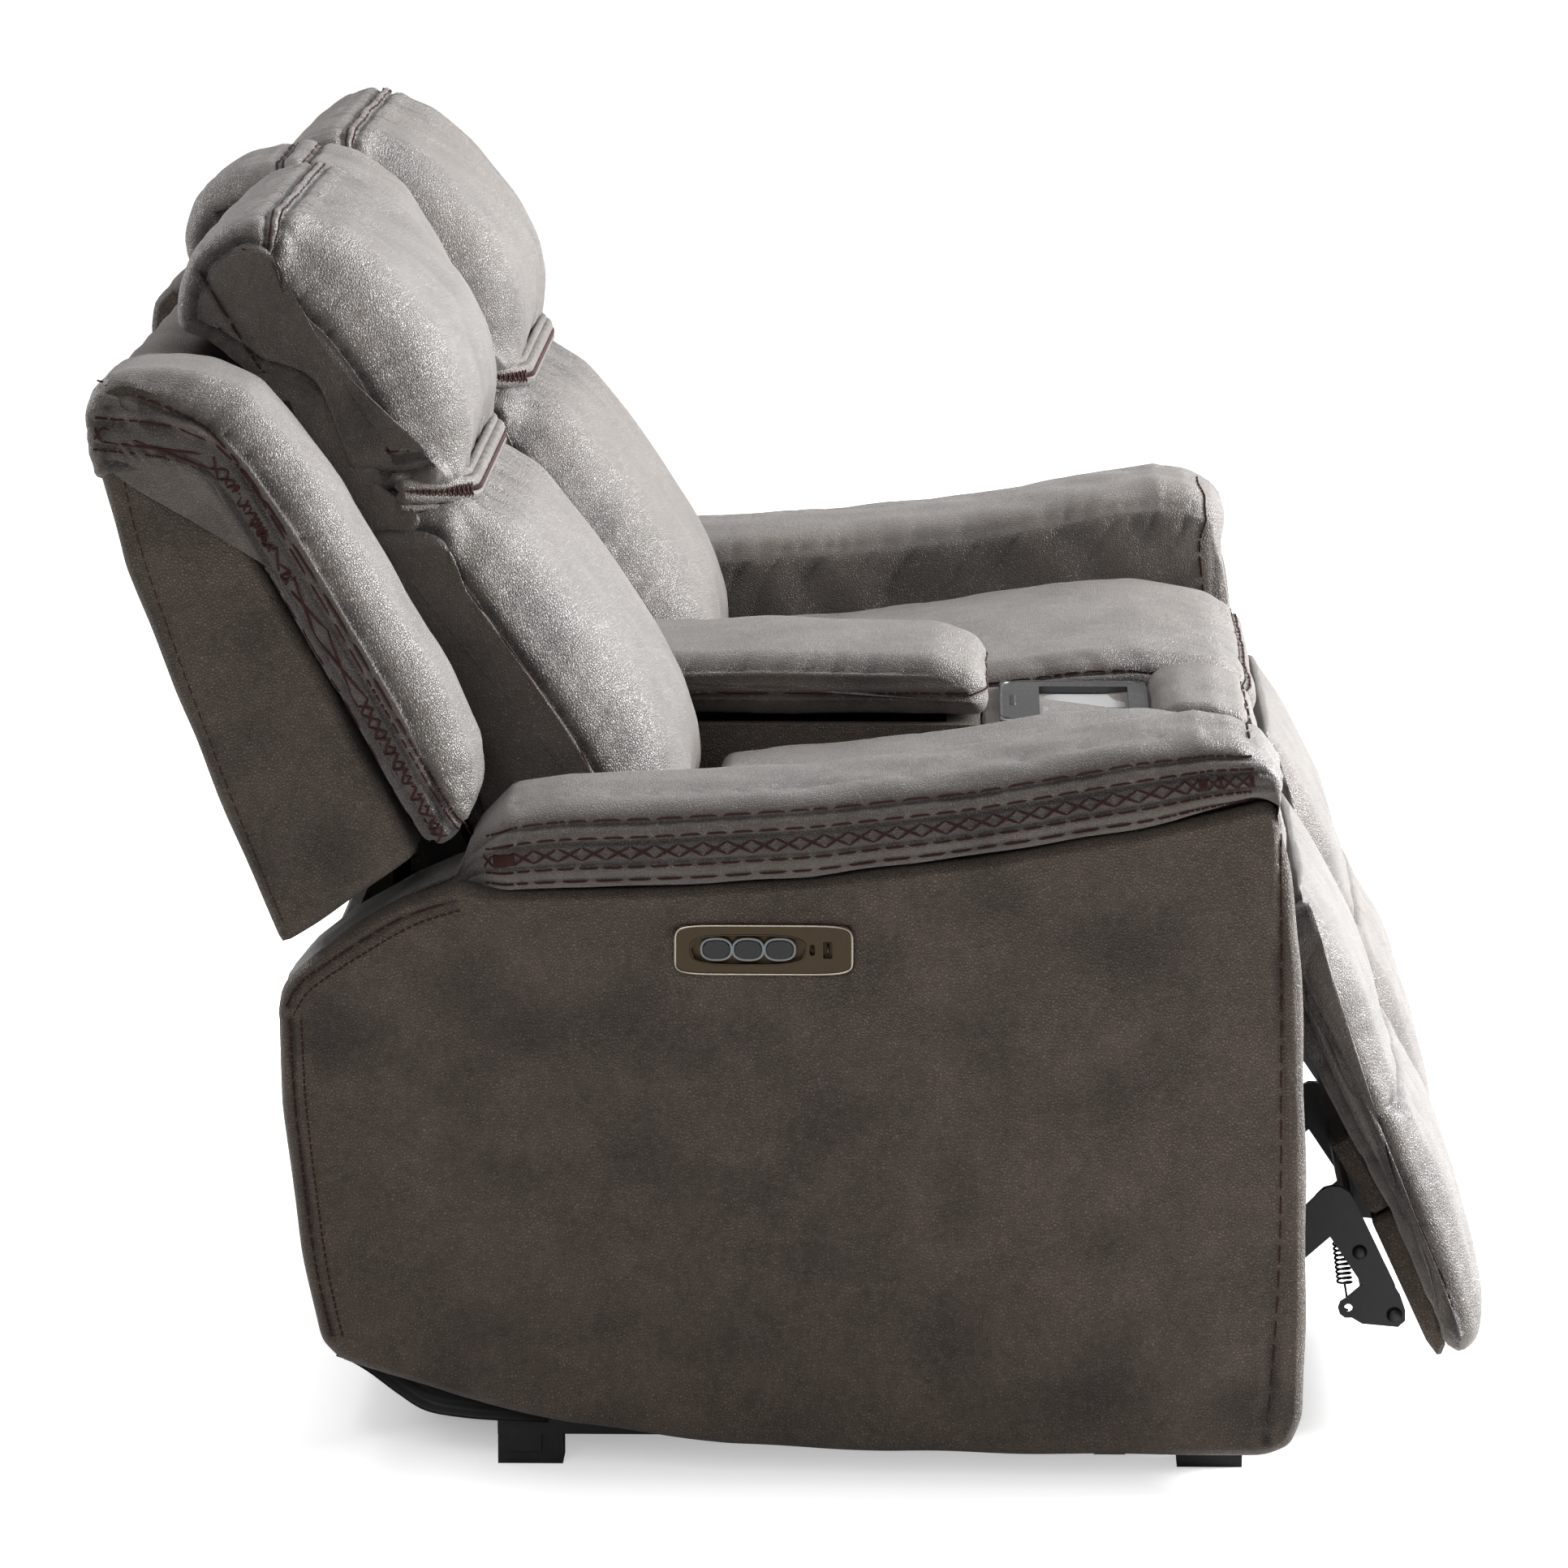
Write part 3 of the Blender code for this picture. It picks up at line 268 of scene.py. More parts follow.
def seam_marks(length: float, step: float, seams: Sequence[float], closed: bool, fine: float = 0.0020) -> Array:
    """Places along a line: even steps, with seven close ones at each seam so that its groove is crisp.

    Args:
        length: the line's length.
        step: the usual step.
        seams: the seams' places.
        closed: whether the line is a loop.
        fine: the step at a seam.

    Returns:
        Rising places.
    """
    count = max(6, round(length / step))
    places = np.linspace(0.0, length, count, endpoint=not closed)
    if not len(seams):
        return places
    near = (np.asarray(seams, float)[:, None] + fine * np.arange(-3, 4)).ravel()
    near = near % length if closed else near[(near > 0) & (near < length)]
    gap = np.abs(places[:, None] - near[None])
    if closed:
        gap = np.minimum(gap, length - gap)
    keep = gap.min(1) > step * 0.4
    if not closed:
        keep[[0, -1]] = True
    return np.sort(np.concatenate([places[keep], near]))


# ---- meshes


def mesh_object(name: str, points: Array, faces: Sequence[Sequence[int]]) -> bpy.types.Object:
    """A smooth-shaded mesh object at the origin.

    Args:
        name: the piece's name.
        points: shape (n, 3).
        faces: vertex numbers of each face.

    Returns:
        The new object.
    """
    mesh = bpy.data.meshes.new(name)
    mesh.from_pydata(points, [], faces)
    mesh.shade_smooth()
    mesh.update()
    obj = bpy.data.objects.new(name, mesh)
    bpy.context.scene.collection.objects.link(obj)
    LOG.info("%s: %d points, %d faces", name, len(points), len(faces))
    return obj


def loop_faces(rows: int, columns: int, first: int = 0) -> Array:
    """Quads of a grid whose columns close into a loop, shape ((rows - 1) * columns, 4)."""
    row, column = np.meshgrid(np.arange(rows - 1), np.arange(columns), indexing="ij")
    after = (column + 1) % columns
    quads = np.stack([row * columns + column, row * columns + after,
                      (row + 1) * columns + after, (row + 1) * columns + column], axis=-1)
    return quads.reshape(-1, 4) + first


def closed_form(name: str, points: Array, start: Array, end: Array) -> bpy.types.Object:
    """A closed skin of rings between two poles.

    Args:
        name: the piece's name.
        points: the rings, shape (rows, columns, 3).
        start: the pole before the first ring.
        end: the pole after the last ring.

    Returns:
        The new object, its faces outwards.
    """
    rows, columns, _ = points.shape
    quads = loop_faces(rows, columns).tolist()
    column = np.arange(columns)
    after = (column + 1) % columns
    last = (rows - 1) * columns
    poles = [rows * columns, rows * columns + 1]
    fans = np.stack([np.full(columns, poles[0]), after, column], axis=1).tolist()
    fans += np.stack([np.full(columns, poles[1]), last + column, last + after], axis=1).tolist()
    obj = mesh_object(name, np.vstack([points.reshape(-1, 3), start, end]), quads + fans)
    face_outwards(obj)
    return obj


def face_outwards(obj: bpy.types.Object) -> None:
    """Turns a closed mesh's faces outwards where its volume comes out negative."""
    builder = bmesh.new()
    builder.from_mesh(obj.data)
    if builder.calc_volume(signed=True) < 0:
        bmesh.ops.reverse_faces(builder, faces=builder.faces)
    builder.to_mesh(obj.data)
    builder.free()


def mark_creases(obj: bpy.types.Object, values: Array) -> None:
    """Stores how far each vertex is darkened, 0 to 1: painted shade by the depth of its creases and grooves, plus any
    darker strip.
    """
    attribute = obj.data.attributes.new("crease", "FLOAT", "POINT")
    full = np.zeros(len(obj.data.vertices), np.float32)
    full[: len(values)] = np.clip(values, 0, 1)
    attribute.data.foreach_set("value", full)


def tube(path: Array, radius: float, sides: int = 10, closed: bool = False, flat: float = 1.0,
         up: Sequence[float] = (0.0, 0.0, 1.0)) -> Array:
    """Rings of a round or oval bar along a path.

    Args:
        path: the middle line, shape (n, 3).
        radius: the half width across.
        sides: points in a ring.
        closed: whether the path is a loop.
        flat: the half height as a share of the half width.
        up: the direction that the height is measured along.

    Returns:
        The rings, shape (n, sides, 3).
    """
    if closed:
        tangent = np.roll(path, -1, 0) - np.roll(path, 1, 0)
    else:
        tangent = np.gradient(path, axis=0)
    tangent /= np.maximum(np.linalg.norm(tangent, axis=1, keepdims=True), 1e-9)
    across = np.cross(tangent, np.asarray(up, float))
    across /= np.maximum(np.linalg.norm(across, axis=1, keepdims=True), 1e-9)
    high = np.cross(across, tangent)
    angle = np.linspace(0, 2 * math.pi, sides, endpoint=False)
    return path[:, None] + radius * (np.cos(angle)[None, :, None] * across[:, None]
                                     + flat * np.sin(angle)[None, :, None] * high[:, None])


def bar(name: str, path: Array, radius: float, sides: int = 10, closed: bool = False, flat: float = 1.0,
        up: Sequence[float] = (0.0, 0.0, 1.0)) -> bpy.types.Object:
    """A closed bar along a path, with round ends; the arguments are those of `tube`."""
    rings = tube(path, radius, sides, closed, flat, up)
    if closed:
        rows, columns = rings.shape[:2]
        row, column = np.meshgrid(np.arange(rows), np.arange(columns), indexing="ij")
        low, right = (row + 1) % rows, (column + 1) % columns
        quads = np.stack([row * columns + column, row * columns + right, low * columns + right,
                          low * columns + column], -1).reshape(-1, 4)
        obj = mesh_object(name, rings.reshape(-1, 3), quads.tolist())
        face_outwards(obj)
        return obj
    first, last = path[1] - path[0], path[-1] - path[-2]
    start = path[0] + (rings[0] - path[0]) * 0.6 - first / np.linalg.norm(first) * radius * 0.5
    end = path[-1] + (rings[-1] - path[-1]) * 0.6 + last / np.linalg.norm(last) * radius * 0.5
    rings = np.concatenate([start[None], rings, end[None]])
    return closed_form(name, rings, rings[0].mean(0), rings[-1].mean(0))


def merged(name: str, objects: Sequence[bpy.types.Object]) -> bpy.types.Object:
    """Several meshes made one object of separate shells; the given objects are removed."""
    points, faces, first = [], [], 0
    for obj in objects:
        mesh = obj.data
        flat = np.empty(len(mesh.vertices) * 3)
        mesh.vertices.foreach_get("co", flat)
        points.append(flat.reshape(-1, 3))
        faces += [[first + vertex for vertex in polygon.vertices] for polygon in mesh.polygons]
        first += len(mesh.vertices)
        bpy.data.objects.remove(obj)
    return mesh_object(name, np.vstack(points), faces)


def turned(name: str, centre: Array, axis: Array, profile: Sequence[Point], sides: int = 32) -> bpy.types.Object:
    """A turned piece: a profile of (distance along the axis, radius) carried round an axis.

    Args:
        name: the piece's name.
        centre: the axis's origin.
        axis: its direction.
        profile: pairs from one pole to the other; the first and last are the poles.
        sides: points round the axis.

    Returns:
        The new object.
    """
    axis = np.asarray(axis, float) / np.linalg.norm(axis)
    helper = np.array([0.0, 0.0, 1.0]) if abs(axis[2]) < 0.9 else np.array([1.0, 0.0, 0.0])
    first = np.cross(axis, helper)
    first /= np.linalg.norm(first)
    second = np.cross(axis, first)
    angle = np.linspace(0, 2 * math.pi, sides, endpoint=False)
    spokes = np.cos(angle)[:, None] * first + np.sin(angle)[:, None] * second
    table = np.asarray(profile, float)
    rings = np.asarray(centre) + table[1:-1, 0, None, None] * axis + table[1:-1, 1, None, None] * spokes[None]
    return closed_form(name, rings, centre + table[0, 0] * axis, centre + table[-1, 0] * axis)


# ---- finishes


class Sketch:
    """A node tree that is filled one node at a time."""

    def __init__(self, tree: bpy.types.NodeTree) -> None:
        """Keeps the tree to fill."""
        self.tree = tree

    def add(self, kind: str, values: dict | None = None, **settings: object) -> bpy.types.Node:
        """Adds a node.

        Args:
            kind: the node's type name.
            values: input name or number to a value or to an output socket to link.
            settings: the node's own properties.

        Returns:
            The node.
        """
        node = self.tree.nodes.new(kind)
        for key, value in settings.items():
            setattr(node, key, value)
        for key, value in (values or {}).items():
            if isinstance(value, bpy.types.NodeSocket):
                self.tree.links.new(value, node.inputs[key])
            else:
                node.inputs[key].default_value = value
        return node

    def noise(self, vector: object, scale: float, detail: float = 3.0, roughness: float = 0.55) -> bpy.types.NodeSocket:
        """A noise texture's value over the vector."""
        return self.add("ShaderNodeTexNoise", {"Vector": vector, "Scale": scale, "Detail": detail,
                                               "Roughness": roughness}).outputs["Fac"]

    def maths(self, operation: str, *values: object) -> bpy.types.NodeSocket:
        """A Math node's value, from numbers or sockets in order."""
        return self.add("ShaderNodeMath", dict(enumerate(values)), operation=operation).outputs[0]

    def times(self, first: object, second: object) -> bpy.types.NodeSocket:
        """The product of two numbers or sockets."""
        return self.maths("MULTIPLY", first, second)

    def spread(self, value: object, low: float, high: float, new_low: float, new_high: float) -> bpy.types.NodeSocket:
        """A Map Range node's value, clamped."""
        return self.add("ShaderNodeMapRange", {"Value": value, "From Min": low, "From Max": high,
                                               "To Min": new_low, "To Max": new_high}).outputs["Result"]

    def mix(self, share: object, first: object, second: object, blend: str = "MIX") -> bpy.types.NodeSocket:
        """A colour mix's result."""
        node = self.add("ShaderNodeMix", data_type="RGBA", blend_type=blend)
        for socket, value in zip((node.inputs[0], node.inputs[6], node.inputs[7]), (share, first, second)):
            if isinstance(value, bpy.types.NodeSocket):
                self.tree.links.new(value, socket)
            else:
                socket.default_value = value
        return node.outputs[2]


def colour(red: float, green: float, blue: float) -> tuple[float, float, float, float]:
    """A linear colour with full alpha."""
    return (red, green, blue, 1.0)


def effect(name: str, inputs: dict[str, object], outputs: Sequence[str],
           fill: Callable[[Sketch, bpy.types.Node], dict[str, bpy.types.NodeSocket]]) -> bpy.types.NodeTree:
    """A shared node group with named inputs and outputs, built once.

    Args:
        name: the group's name.
        inputs: input name to its default; a number makes a float socket, a tuple a colour.
        outputs: output names; one ending in "Colour" is a colour, the rest are values.
        fill: draws the nodes and returns each output's source.

    Returns:
        The group.
    """
    group = bpy.data.node_groups.get(name)
    if group:
        return group
    group = bpy.data.node_groups.new(name, "ShaderNodeTree")
    for key, value in inputs.items():
        kind = "NodeSocketColor" if isinstance(value, tuple) else "NodeSocketFloat"
        group.interface.new_socket(key, in_out="INPUT", socket_type=kind).default_value = value
    for key in outputs:
        kind = "NodeSocketColor" if key.endswith("Colour") else "NodeSocketFloat"
        group.interface.new_socket(key, in_out="OUTPUT", socket_type=kind)
    sketch = Sketch(group)
    entry, leave = group.nodes.new("NodeGroupInput"), group.nodes.new("NodeGroupOutput")
    for key, socket in fill(sketch, entry).items():
        group.links.new(socket, leave.inputs[key])
    return group


def hide_effect() -> bpy.types.NodeTree:
    """The leather's cloudy colour, its pebbled grain, painted shade in its creases and grooves, its darker stitch
    strips and its uneven gloss, as a group.
    """

    def fill(sketch: Sketch, entry: bpy.types.Node) -> dict[str, bpy.types.NodeSocket]:
        """Noise at three sizes mixes the tones; the stored shade value paints shade into creases and grooves and
        darkens the stitch strips; distorted cells give the pebbles.
        """
        place = sketch.add("ShaderNodeTexCoord").outputs["Object"]
        wide = sketch.noise(place, 5.5, 4.0, 0.60)
        patch = sketch.noise(place, 27.0, 5.0, 0.68)
        speck = sketch.noise(place, 95.0, 3.0, 0.6)
        cloud = sketch.maths("ADD", sketch.times(wide, 0.28), sketch.times(patch, 0.72))
        dark = sketch.spread(cloud, 0.39, 0.61, 0.0, 1.0)
        base = sketch.mix(dark, entry.outputs["Tone"], entry.outputs["Patch"])
        warm = sketch.spread(sketch.times(patch, speck), 0.25, 0.38, 0.0, 1.0)
        warm = sketch.times(warm, entry.outputs["Warmth"])
        base = sketch.mix(warm, base, entry.outputs["Warm tone"])
        # Painted shade: creases and seam grooves, and the darker stitch strips, mix towards the dark tone.
        crease = sketch.add("ShaderNodeAttribute", attribute_name="crease").outputs["Fac"]
        shaded = sketch.times(crease, entry.outputs["Crease"])
        base = sketch.mix(shaded, base, entry.outputs["Deep"])
        bend = sketch.add("ShaderNodeTexNoise", {"Vector": place, "Scale": 240.0, "Detail": 2.0}).outputs["Color"]
        moved = sketch.add("ShaderNodeVectorMath", {0: bend}, operation="SCALE")
        moved.inputs["Scale"].default_value = 0.0016
        cells_at = sketch.add("ShaderNodeVectorMath", {0: place, 1: moved.outputs[0]}, operation="ADD").outputs[0]
        cells = sketch.add("ShaderNodeTexVoronoi", {"Vector": cells_at, "Scale": entry.outputs["Grain scale"]},
                           feature="DISTANCE_TO_EDGE").outputs["Distance"]
        pebble = sketch.spread(cells, 0.0, 0.28, 0.0, 1.0)
        fine = sketch.noise(place, 900.0, 2.0)
        height = sketch.maths("ADD", sketch.times(pebble, 0.75), sketch.times(fine, 0.25))
        height = sketch.maths("ADD", height, sketch.times(patch, 0.5))
        pit = sketch.times(sketch.maths("SUBTRACT", 1.0, pebble), entry.outputs["Pits"])
        base = sketch.mix(pit, base, entry.outputs["Deep"])
        gloss = sketch.maths("ADD", entry.outputs["Roughness"],
                             sketch.times(sketch.maths("SUBTRACT", patch, 0.5), 0.22))
        return {"Colour": base, "Roughness": gloss, "Height": height}

    return effect("leather hide", {"Tone": colour(0.10, 0.08, 0.07), "Patch": colour(0.06, 0.05, 0.04),
                                   "Warm tone": colour(0.12, 0.09, 0.05), "Warmth": 0.3,
                                   "Deep": colour(0.02, 0.015, 0.012), "Crease": 0.6, "Grain scale": 520.0,
                                   "Pits": 0.3, "Roughness": 0.46}, ("Colour", "Roughness", "Height"), fill)


def wear_effect() -> bpy.types.NodeTree:
    """Small scratches and dulled spots of painted and plated metal, as a group."""

    def fill(sketch: Sketch, entry: bpy.types.Node) -> dict[str, bpy.types.NodeSocket]:
        """Two noises mix the colour towards the dust tone and move the roughness."""
        place = sketch.add("ShaderNodeTexCoord").outputs["Object"]
        stretched = sketch.add("ShaderNodeMapping", {"Vector": place, "Scale": (1.0, 40.0, 40.0)}).outputs[0]
        streak = sketch.noise(stretched, entry.outputs["Streak scale"], 3.0)
        spot = sketch.noise(place, 60.0, 4.0, 0.65)
        dust = sketch.times(sketch.spread(spot, 0.45, 0.75, 0.0, 1.0), entry.outputs["Dust"])
        mixed = sketch.mix(dust, entry.outputs["Tone"], entry.outputs["Dust tone"])
        gloss = sketch.maths("ADD", entry.outputs["Roughness"],
                             sketch.times(sketch.maths("SUBTRACT", spot, 0.5), 0.25))
        height = sketch.maths("ADD", streak, sketch.times(spot, 0.3))
        return {"Colour": mixed, "Roughness": gloss, "Height": height}

    return effect("metal wear", {"Tone": colour(0.1, 0.1, 0.1), "Dust tone": colour(0.2, 0.2, 0.2), "Dust": 0.2,
                                 "Streak scale": 8.0, "Roughness": 0.4}, ("Colour", "Roughness", "Height"), fill)


@dataclass(frozen=True)
class Finish:
    """A finish with a shared effect behind one Principled shader."""

    name: str
    tone: tuple[float, float, float]
    second: tuple[float, float, float]
    roughness: float = 0.45
    bump: float = 0.15
    depth: float = 0.0002
    metallic: float = 0.0
    coat: float = 0.0
    sheen: float = 0.0
    specular: float = 0.5

    def drawn(self, sketch: Sketch) -> bpy.types.Node:
        """The effect's group node, set for this finish."""
        node = sketch.add("ShaderNodeGroup", node_tree=wear_effect())
        node.inputs["Tone"].default_value = colour(*self.tone)
        node.inputs["Dust tone"].default_value = colour(*self.second)
        node.inputs["Roughness"].default_value = self.roughness
        return node

    def material(self) -> bpy.types.Material:
        """The finish's material, built once."""
        made = bpy.data.materials.get(self.name)
        if made:
            return made
        made = bpy.data.materials.new(self.name)
        made.use_nodes = True
        made.diffuse_color = colour(*self.tone)
        shader = made.node_tree.nodes["Principled BSDF"]
        sketch = Sketch(made.node_tree)
        drawn = self.drawn(sketch)
        link = made.node_tree.links.new
        link(drawn.outputs["Colour"], shader.inputs["Base Color"])
        link(drawn.outputs["Roughness"], shader.inputs["Roughness"])
        relief = sketch.add("ShaderNodeBump", {"Strength": self.bump, "Distance": self.depth,
                                               "Height": drawn.outputs["Height"]})
        link(relief.outputs["Normal"], shader.inputs["Normal"])
        shader.inputs["Metallic"].default_value = self.metallic
        shader.inputs["Coat Weight"].default_value = self.coat
        shader.inputs["Coat Roughness"].default_value = 0.25
        shader.inputs["Sheen Weight"].default_value = self.sheen
        shader.inputs["Sheen Roughness"].default_value = 0.45
        shader.inputs["Specular IOR Level"].default_value = self.specular
        return made

    def on(self, obj: bpy.types.Object, slot: str, body: str) -> bpy.types.Object:
        """Dresses a piece and has it ride on a body.

        Args:
            obj: the piece.
            slot: not used.
            body: the body that it moves with.

        Returns:
            The piece.
        """
        obj.data.materials.clear()
        obj.data.materials.append(self.material())
        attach(obj, body)
        return obj


@dataclass(frozen=True)
class Leather(Finish):
    """Soft pebbled leather with a cloudy two-tone."""

    warm: tuple[float, float, float] = (0.12, 0.09, 0.05)
    warmth: float = 0.35
    # Tone and strength of the painted shade in creases and grooves and of the darker stitch strips; the tone also
    # darkens the grain's pits.
    deep: tuple[float, float, float] = (0.020, 0.014, 0.012)
    crease: float = 0.92
    grain: float = 400.0
    pits: float = 0.22

    def drawn(self, sketch: Sketch) -> bpy.types.Node:
        """The hide group's node, set for this finish."""
        node = sketch.add("ShaderNodeGroup", node_tree=hide_effect())
        for key, value in {"Tone": colour(*self.tone), "Patch": colour(*self.second), "Warm tone": colour(*self.warm),
                           "Warmth": self.warmth, "Deep": colour(*self.deep), "Crease": self.crease,
                           "Grain scale": self.grain, "Pits": self.pits, "Roughness": self.roughness}.items():
            node.inputs[key].default_value = value
        return node


TAUPE = Leather("taupe leather", (0.102, 0.083, 0.070), (0.070, 0.056, 0.047), roughness=0.43, bump=0.70,
                depth=0.0011, sheen=0.24, warm=(0.112, 0.086, 0.056), warmth=0.30, specular=0.50)
PANEL_HIDE = Leather("panel leather", (0.104, 0.077, 0.059), (0.061, 0.046, 0.036), roughness=0.50, bump=0.85,
                     depth=0.0014, sheen=0.06, warm=(0.110, 0.084, 0.052), warmth=0.50, specular=0.38, pits=0.45,
                     grain=360.0)
LINING = Finish("black lining", (0.008, 0.008, 0.008), (0.020, 0.020, 0.020), roughness=0.85, bump=0.4, depth=0.0004)
THREAD = Finish("burgundy thread", (0.034, 0.011, 0.009), (0.020, 0.008, 0.008), roughness=0.80, bump=0.5,
                depth=0.0003, specular=0.2)
BLACK_STEEL = Finish("black powder coat", (0.012, 0.012, 0.013), (0.045, 0.045, 0.047), roughness=0.42, metallic=0.35)
BRIGHT_STEEL = Finish("bright zinc", (0.55, 0.55, 0.54), (0.35, 0.33, 0.30), roughness=0.28, bump=0.1, metallic=1.0)
SPRING_WIRE = Finish("dark spring wire", (0.05, 0.05, 0.052), (0.10, 0.09, 0.08), roughness=0.32, bump=0.1,
                     depth=0.0001, metallic=0.9)
BRONZE = Finish("brushed bronze", (0.060, 0.043, 0.026), (0.040, 0.029, 0.018), roughness=0.36, bump=0.25,
                metallic=0.85)
RIM = Finish("bright rim", (0.34, 0.30, 0.25), (0.25, 0.21, 0.17), roughness=0.22, bump=0.08, depth=0.0001,
             metallic=1.0)
BUTTON = Finish("button rubber", (0.010, 0.010, 0.011), (0.018, 0.018, 0.019), roughness=0.50, bump=0.2)
RING = Finish("button ring", (0.20, 0.22, 0.22), (0.15, 0.17, 0.17), roughness=0.35, bump=0.1, depth=0.0001)
TRAY_METAL = Finish("tray metal", (0.050, 0.051, 0.054), (0.060, 0.061, 0.064), roughness=0.24, bump=0.02,
                    depth=0.00005, metallic=0.6, coat=0.3)
CHARGER = Finish("charger mat", (0.30, 0.30, 0.305), (0.32, 0.32, 0.325), roughness=0.40, bump=0.05, depth=0.00005)
BLACK_PLASTIC = Finish("black plastic", (0.010, 0.010, 0.011), (0.03, 0.03, 0.03), roughness=0.35)
DUST_CLOTH = Finish("dust cloth", (0.010, 0.010, 0.011), (0.028, 0.028, 0.028), roughness=0.85, bump=0.6,
                    depth=0.0006, sheen=0.2)
PLYWOOD = Finish("plywood", (0.46, 0.32, 0.18), (0.34, 0.22, 0.12), roughness=0.62, bump=0.4, depth=0.0005)
RUBBER = Finish("foot rubber", (0.015, 0.015, 0.015), (0.05, 0.05, 0.05), roughness=0.75, bump=0.3, depth=0.0004)


# ---- sewing


class Stitch(Enum):
    """How a row of thread lies along its seam."""

    PLAIN = "one line"
    CROSS = "crossed pairs"
    DENSE = "close upright bars"


@dataclass
class Sewing:
    """All the thread on one body: rows are collected, then made one piece of small bars."""

    body: str
    starts: list[Array] = field(default_factory=list)
    ends: list[Array] = field(default_factory=list)
    normals: list[Array] = field(default_factory=list)
    radii: list[Array] = field(default_factory=list)

    def row(self, path: Array, normal: Array, kind: Stitch = Stitch.PLAIN, pitch: float = 0.0062,
            radius: float = 0.0010, width: float = 0.007) -> None:
        """Adds a row of stitches along a path on a surface.

        Args:
            path: points on the surface, shape (n, 3).
            normal: the surface's normals there.
            kind: how the thread lies.
            pitch: the distance from stitch to stitch.
            radius: the thread's radius.
            width: the row's width, for crossed and dense rows.
        """
        length = np.linalg.norm(np.diff(path, axis=0), axis=1).sum()
        count = max(2, round(length / pitch))
        both = even(np.hstack([path, normal]), count * 4 + 1)
        line, out = both[:, :3], both[:, 3:]
        out = out / np.linalg.norm(out, axis=1, keepdims=True)
        along = np.gradient(line, axis=0)
        along /= np.maximum(np.linalg.norm(along, axis=1, keepdims=True), 1e-9)
        over = np.cross(out, along) * width / 2
        here = np.arange(count) * 4
        if kind is Stitch.PLAIN:
            pairs = [(line[here], line[here + 4] - (line[here + 4] - line[here]) * 0.16)]
        elif kind is Stitch.CROSS:
            pairs = [(line[here] + over[here], line[here + 4] - over[here + 4]),
                     (line[here] - over[here], line[here + 4] + over[here + 4])]
        else:
            pairs = [(line[here] + over[here], line[here + 1] - over[here + 1])]
        for start, end in pairs:
            self.starts.append(start + out[here] * radius * 0.5)
            self.ends.append(end + out[here] * radius * 0.5)
            self.normals.append(out[here])
            self.radii.append(np.full(count, radius))

    def piece(self, name: str) -> bpy.types.Object | None:
        """Makes the thread: each stitch is a bar of four rings of five points that humps in its middle.

        Args:
            name: the piece's name.

        Returns:
            The piece, or None where nothing was sewn.
        """
        if not self.starts:
            return None
        start, end = np.vstack(self.starts), np.vstack(self.ends)
        out, radius = np.vstack(self.normals), np.concatenate(self.radii)
        along = end - start
        along /= np.maximum(np.linalg.norm(along, axis=1, keepdims=True), 1e-9)
        side = np.cross(out, along)
        side /= np.maximum(np.linalg.norm(side, axis=1, keepdims=True), 1e-9)
        share = np.array([0.0, 0.18, 0.82, 1.0])
        hump = np.array([-1.3, 0.35, 0.35, -1.3])
        thick = np.array([0.55, 1.0, 1.0, 0.55])
        centre = start[:, None] + (end - start)[:, None] * share[None, :, None]
        centre = centre + out[:, None] * (hump[None, :] * radius[:, None])[..., None]
        angle = np.linspace(0, 2 * math.pi, 5, endpoint=False)
        spoke = np.cos(angle)[:, None, None] * side[None] + np.sin(angle)[:, None, None] * out[None]
        reach = (thick[None] * radius[:, None])[:, :, None, None]
        rings = centre[:, :, None] + spoke.transpose(1, 0, 2)[:, None] * reach
        firsts = np.arange(len(start))[:, None] * 20
        every: list[list[int]] = []
        for face in loop_faces(4, 5).tolist() + [[4, 3, 2, 1, 0], [15, 16, 17, 18, 19]]:
            every += (np.asarray(face)[None] + firsts).tolist()
        obj = mesh_object(name, rings.reshape(-1, 3), every)
        face_outwards(obj)
        THREAD.on(obj, "taupe_leather", self.body)
        return obj


# ---- padded forms


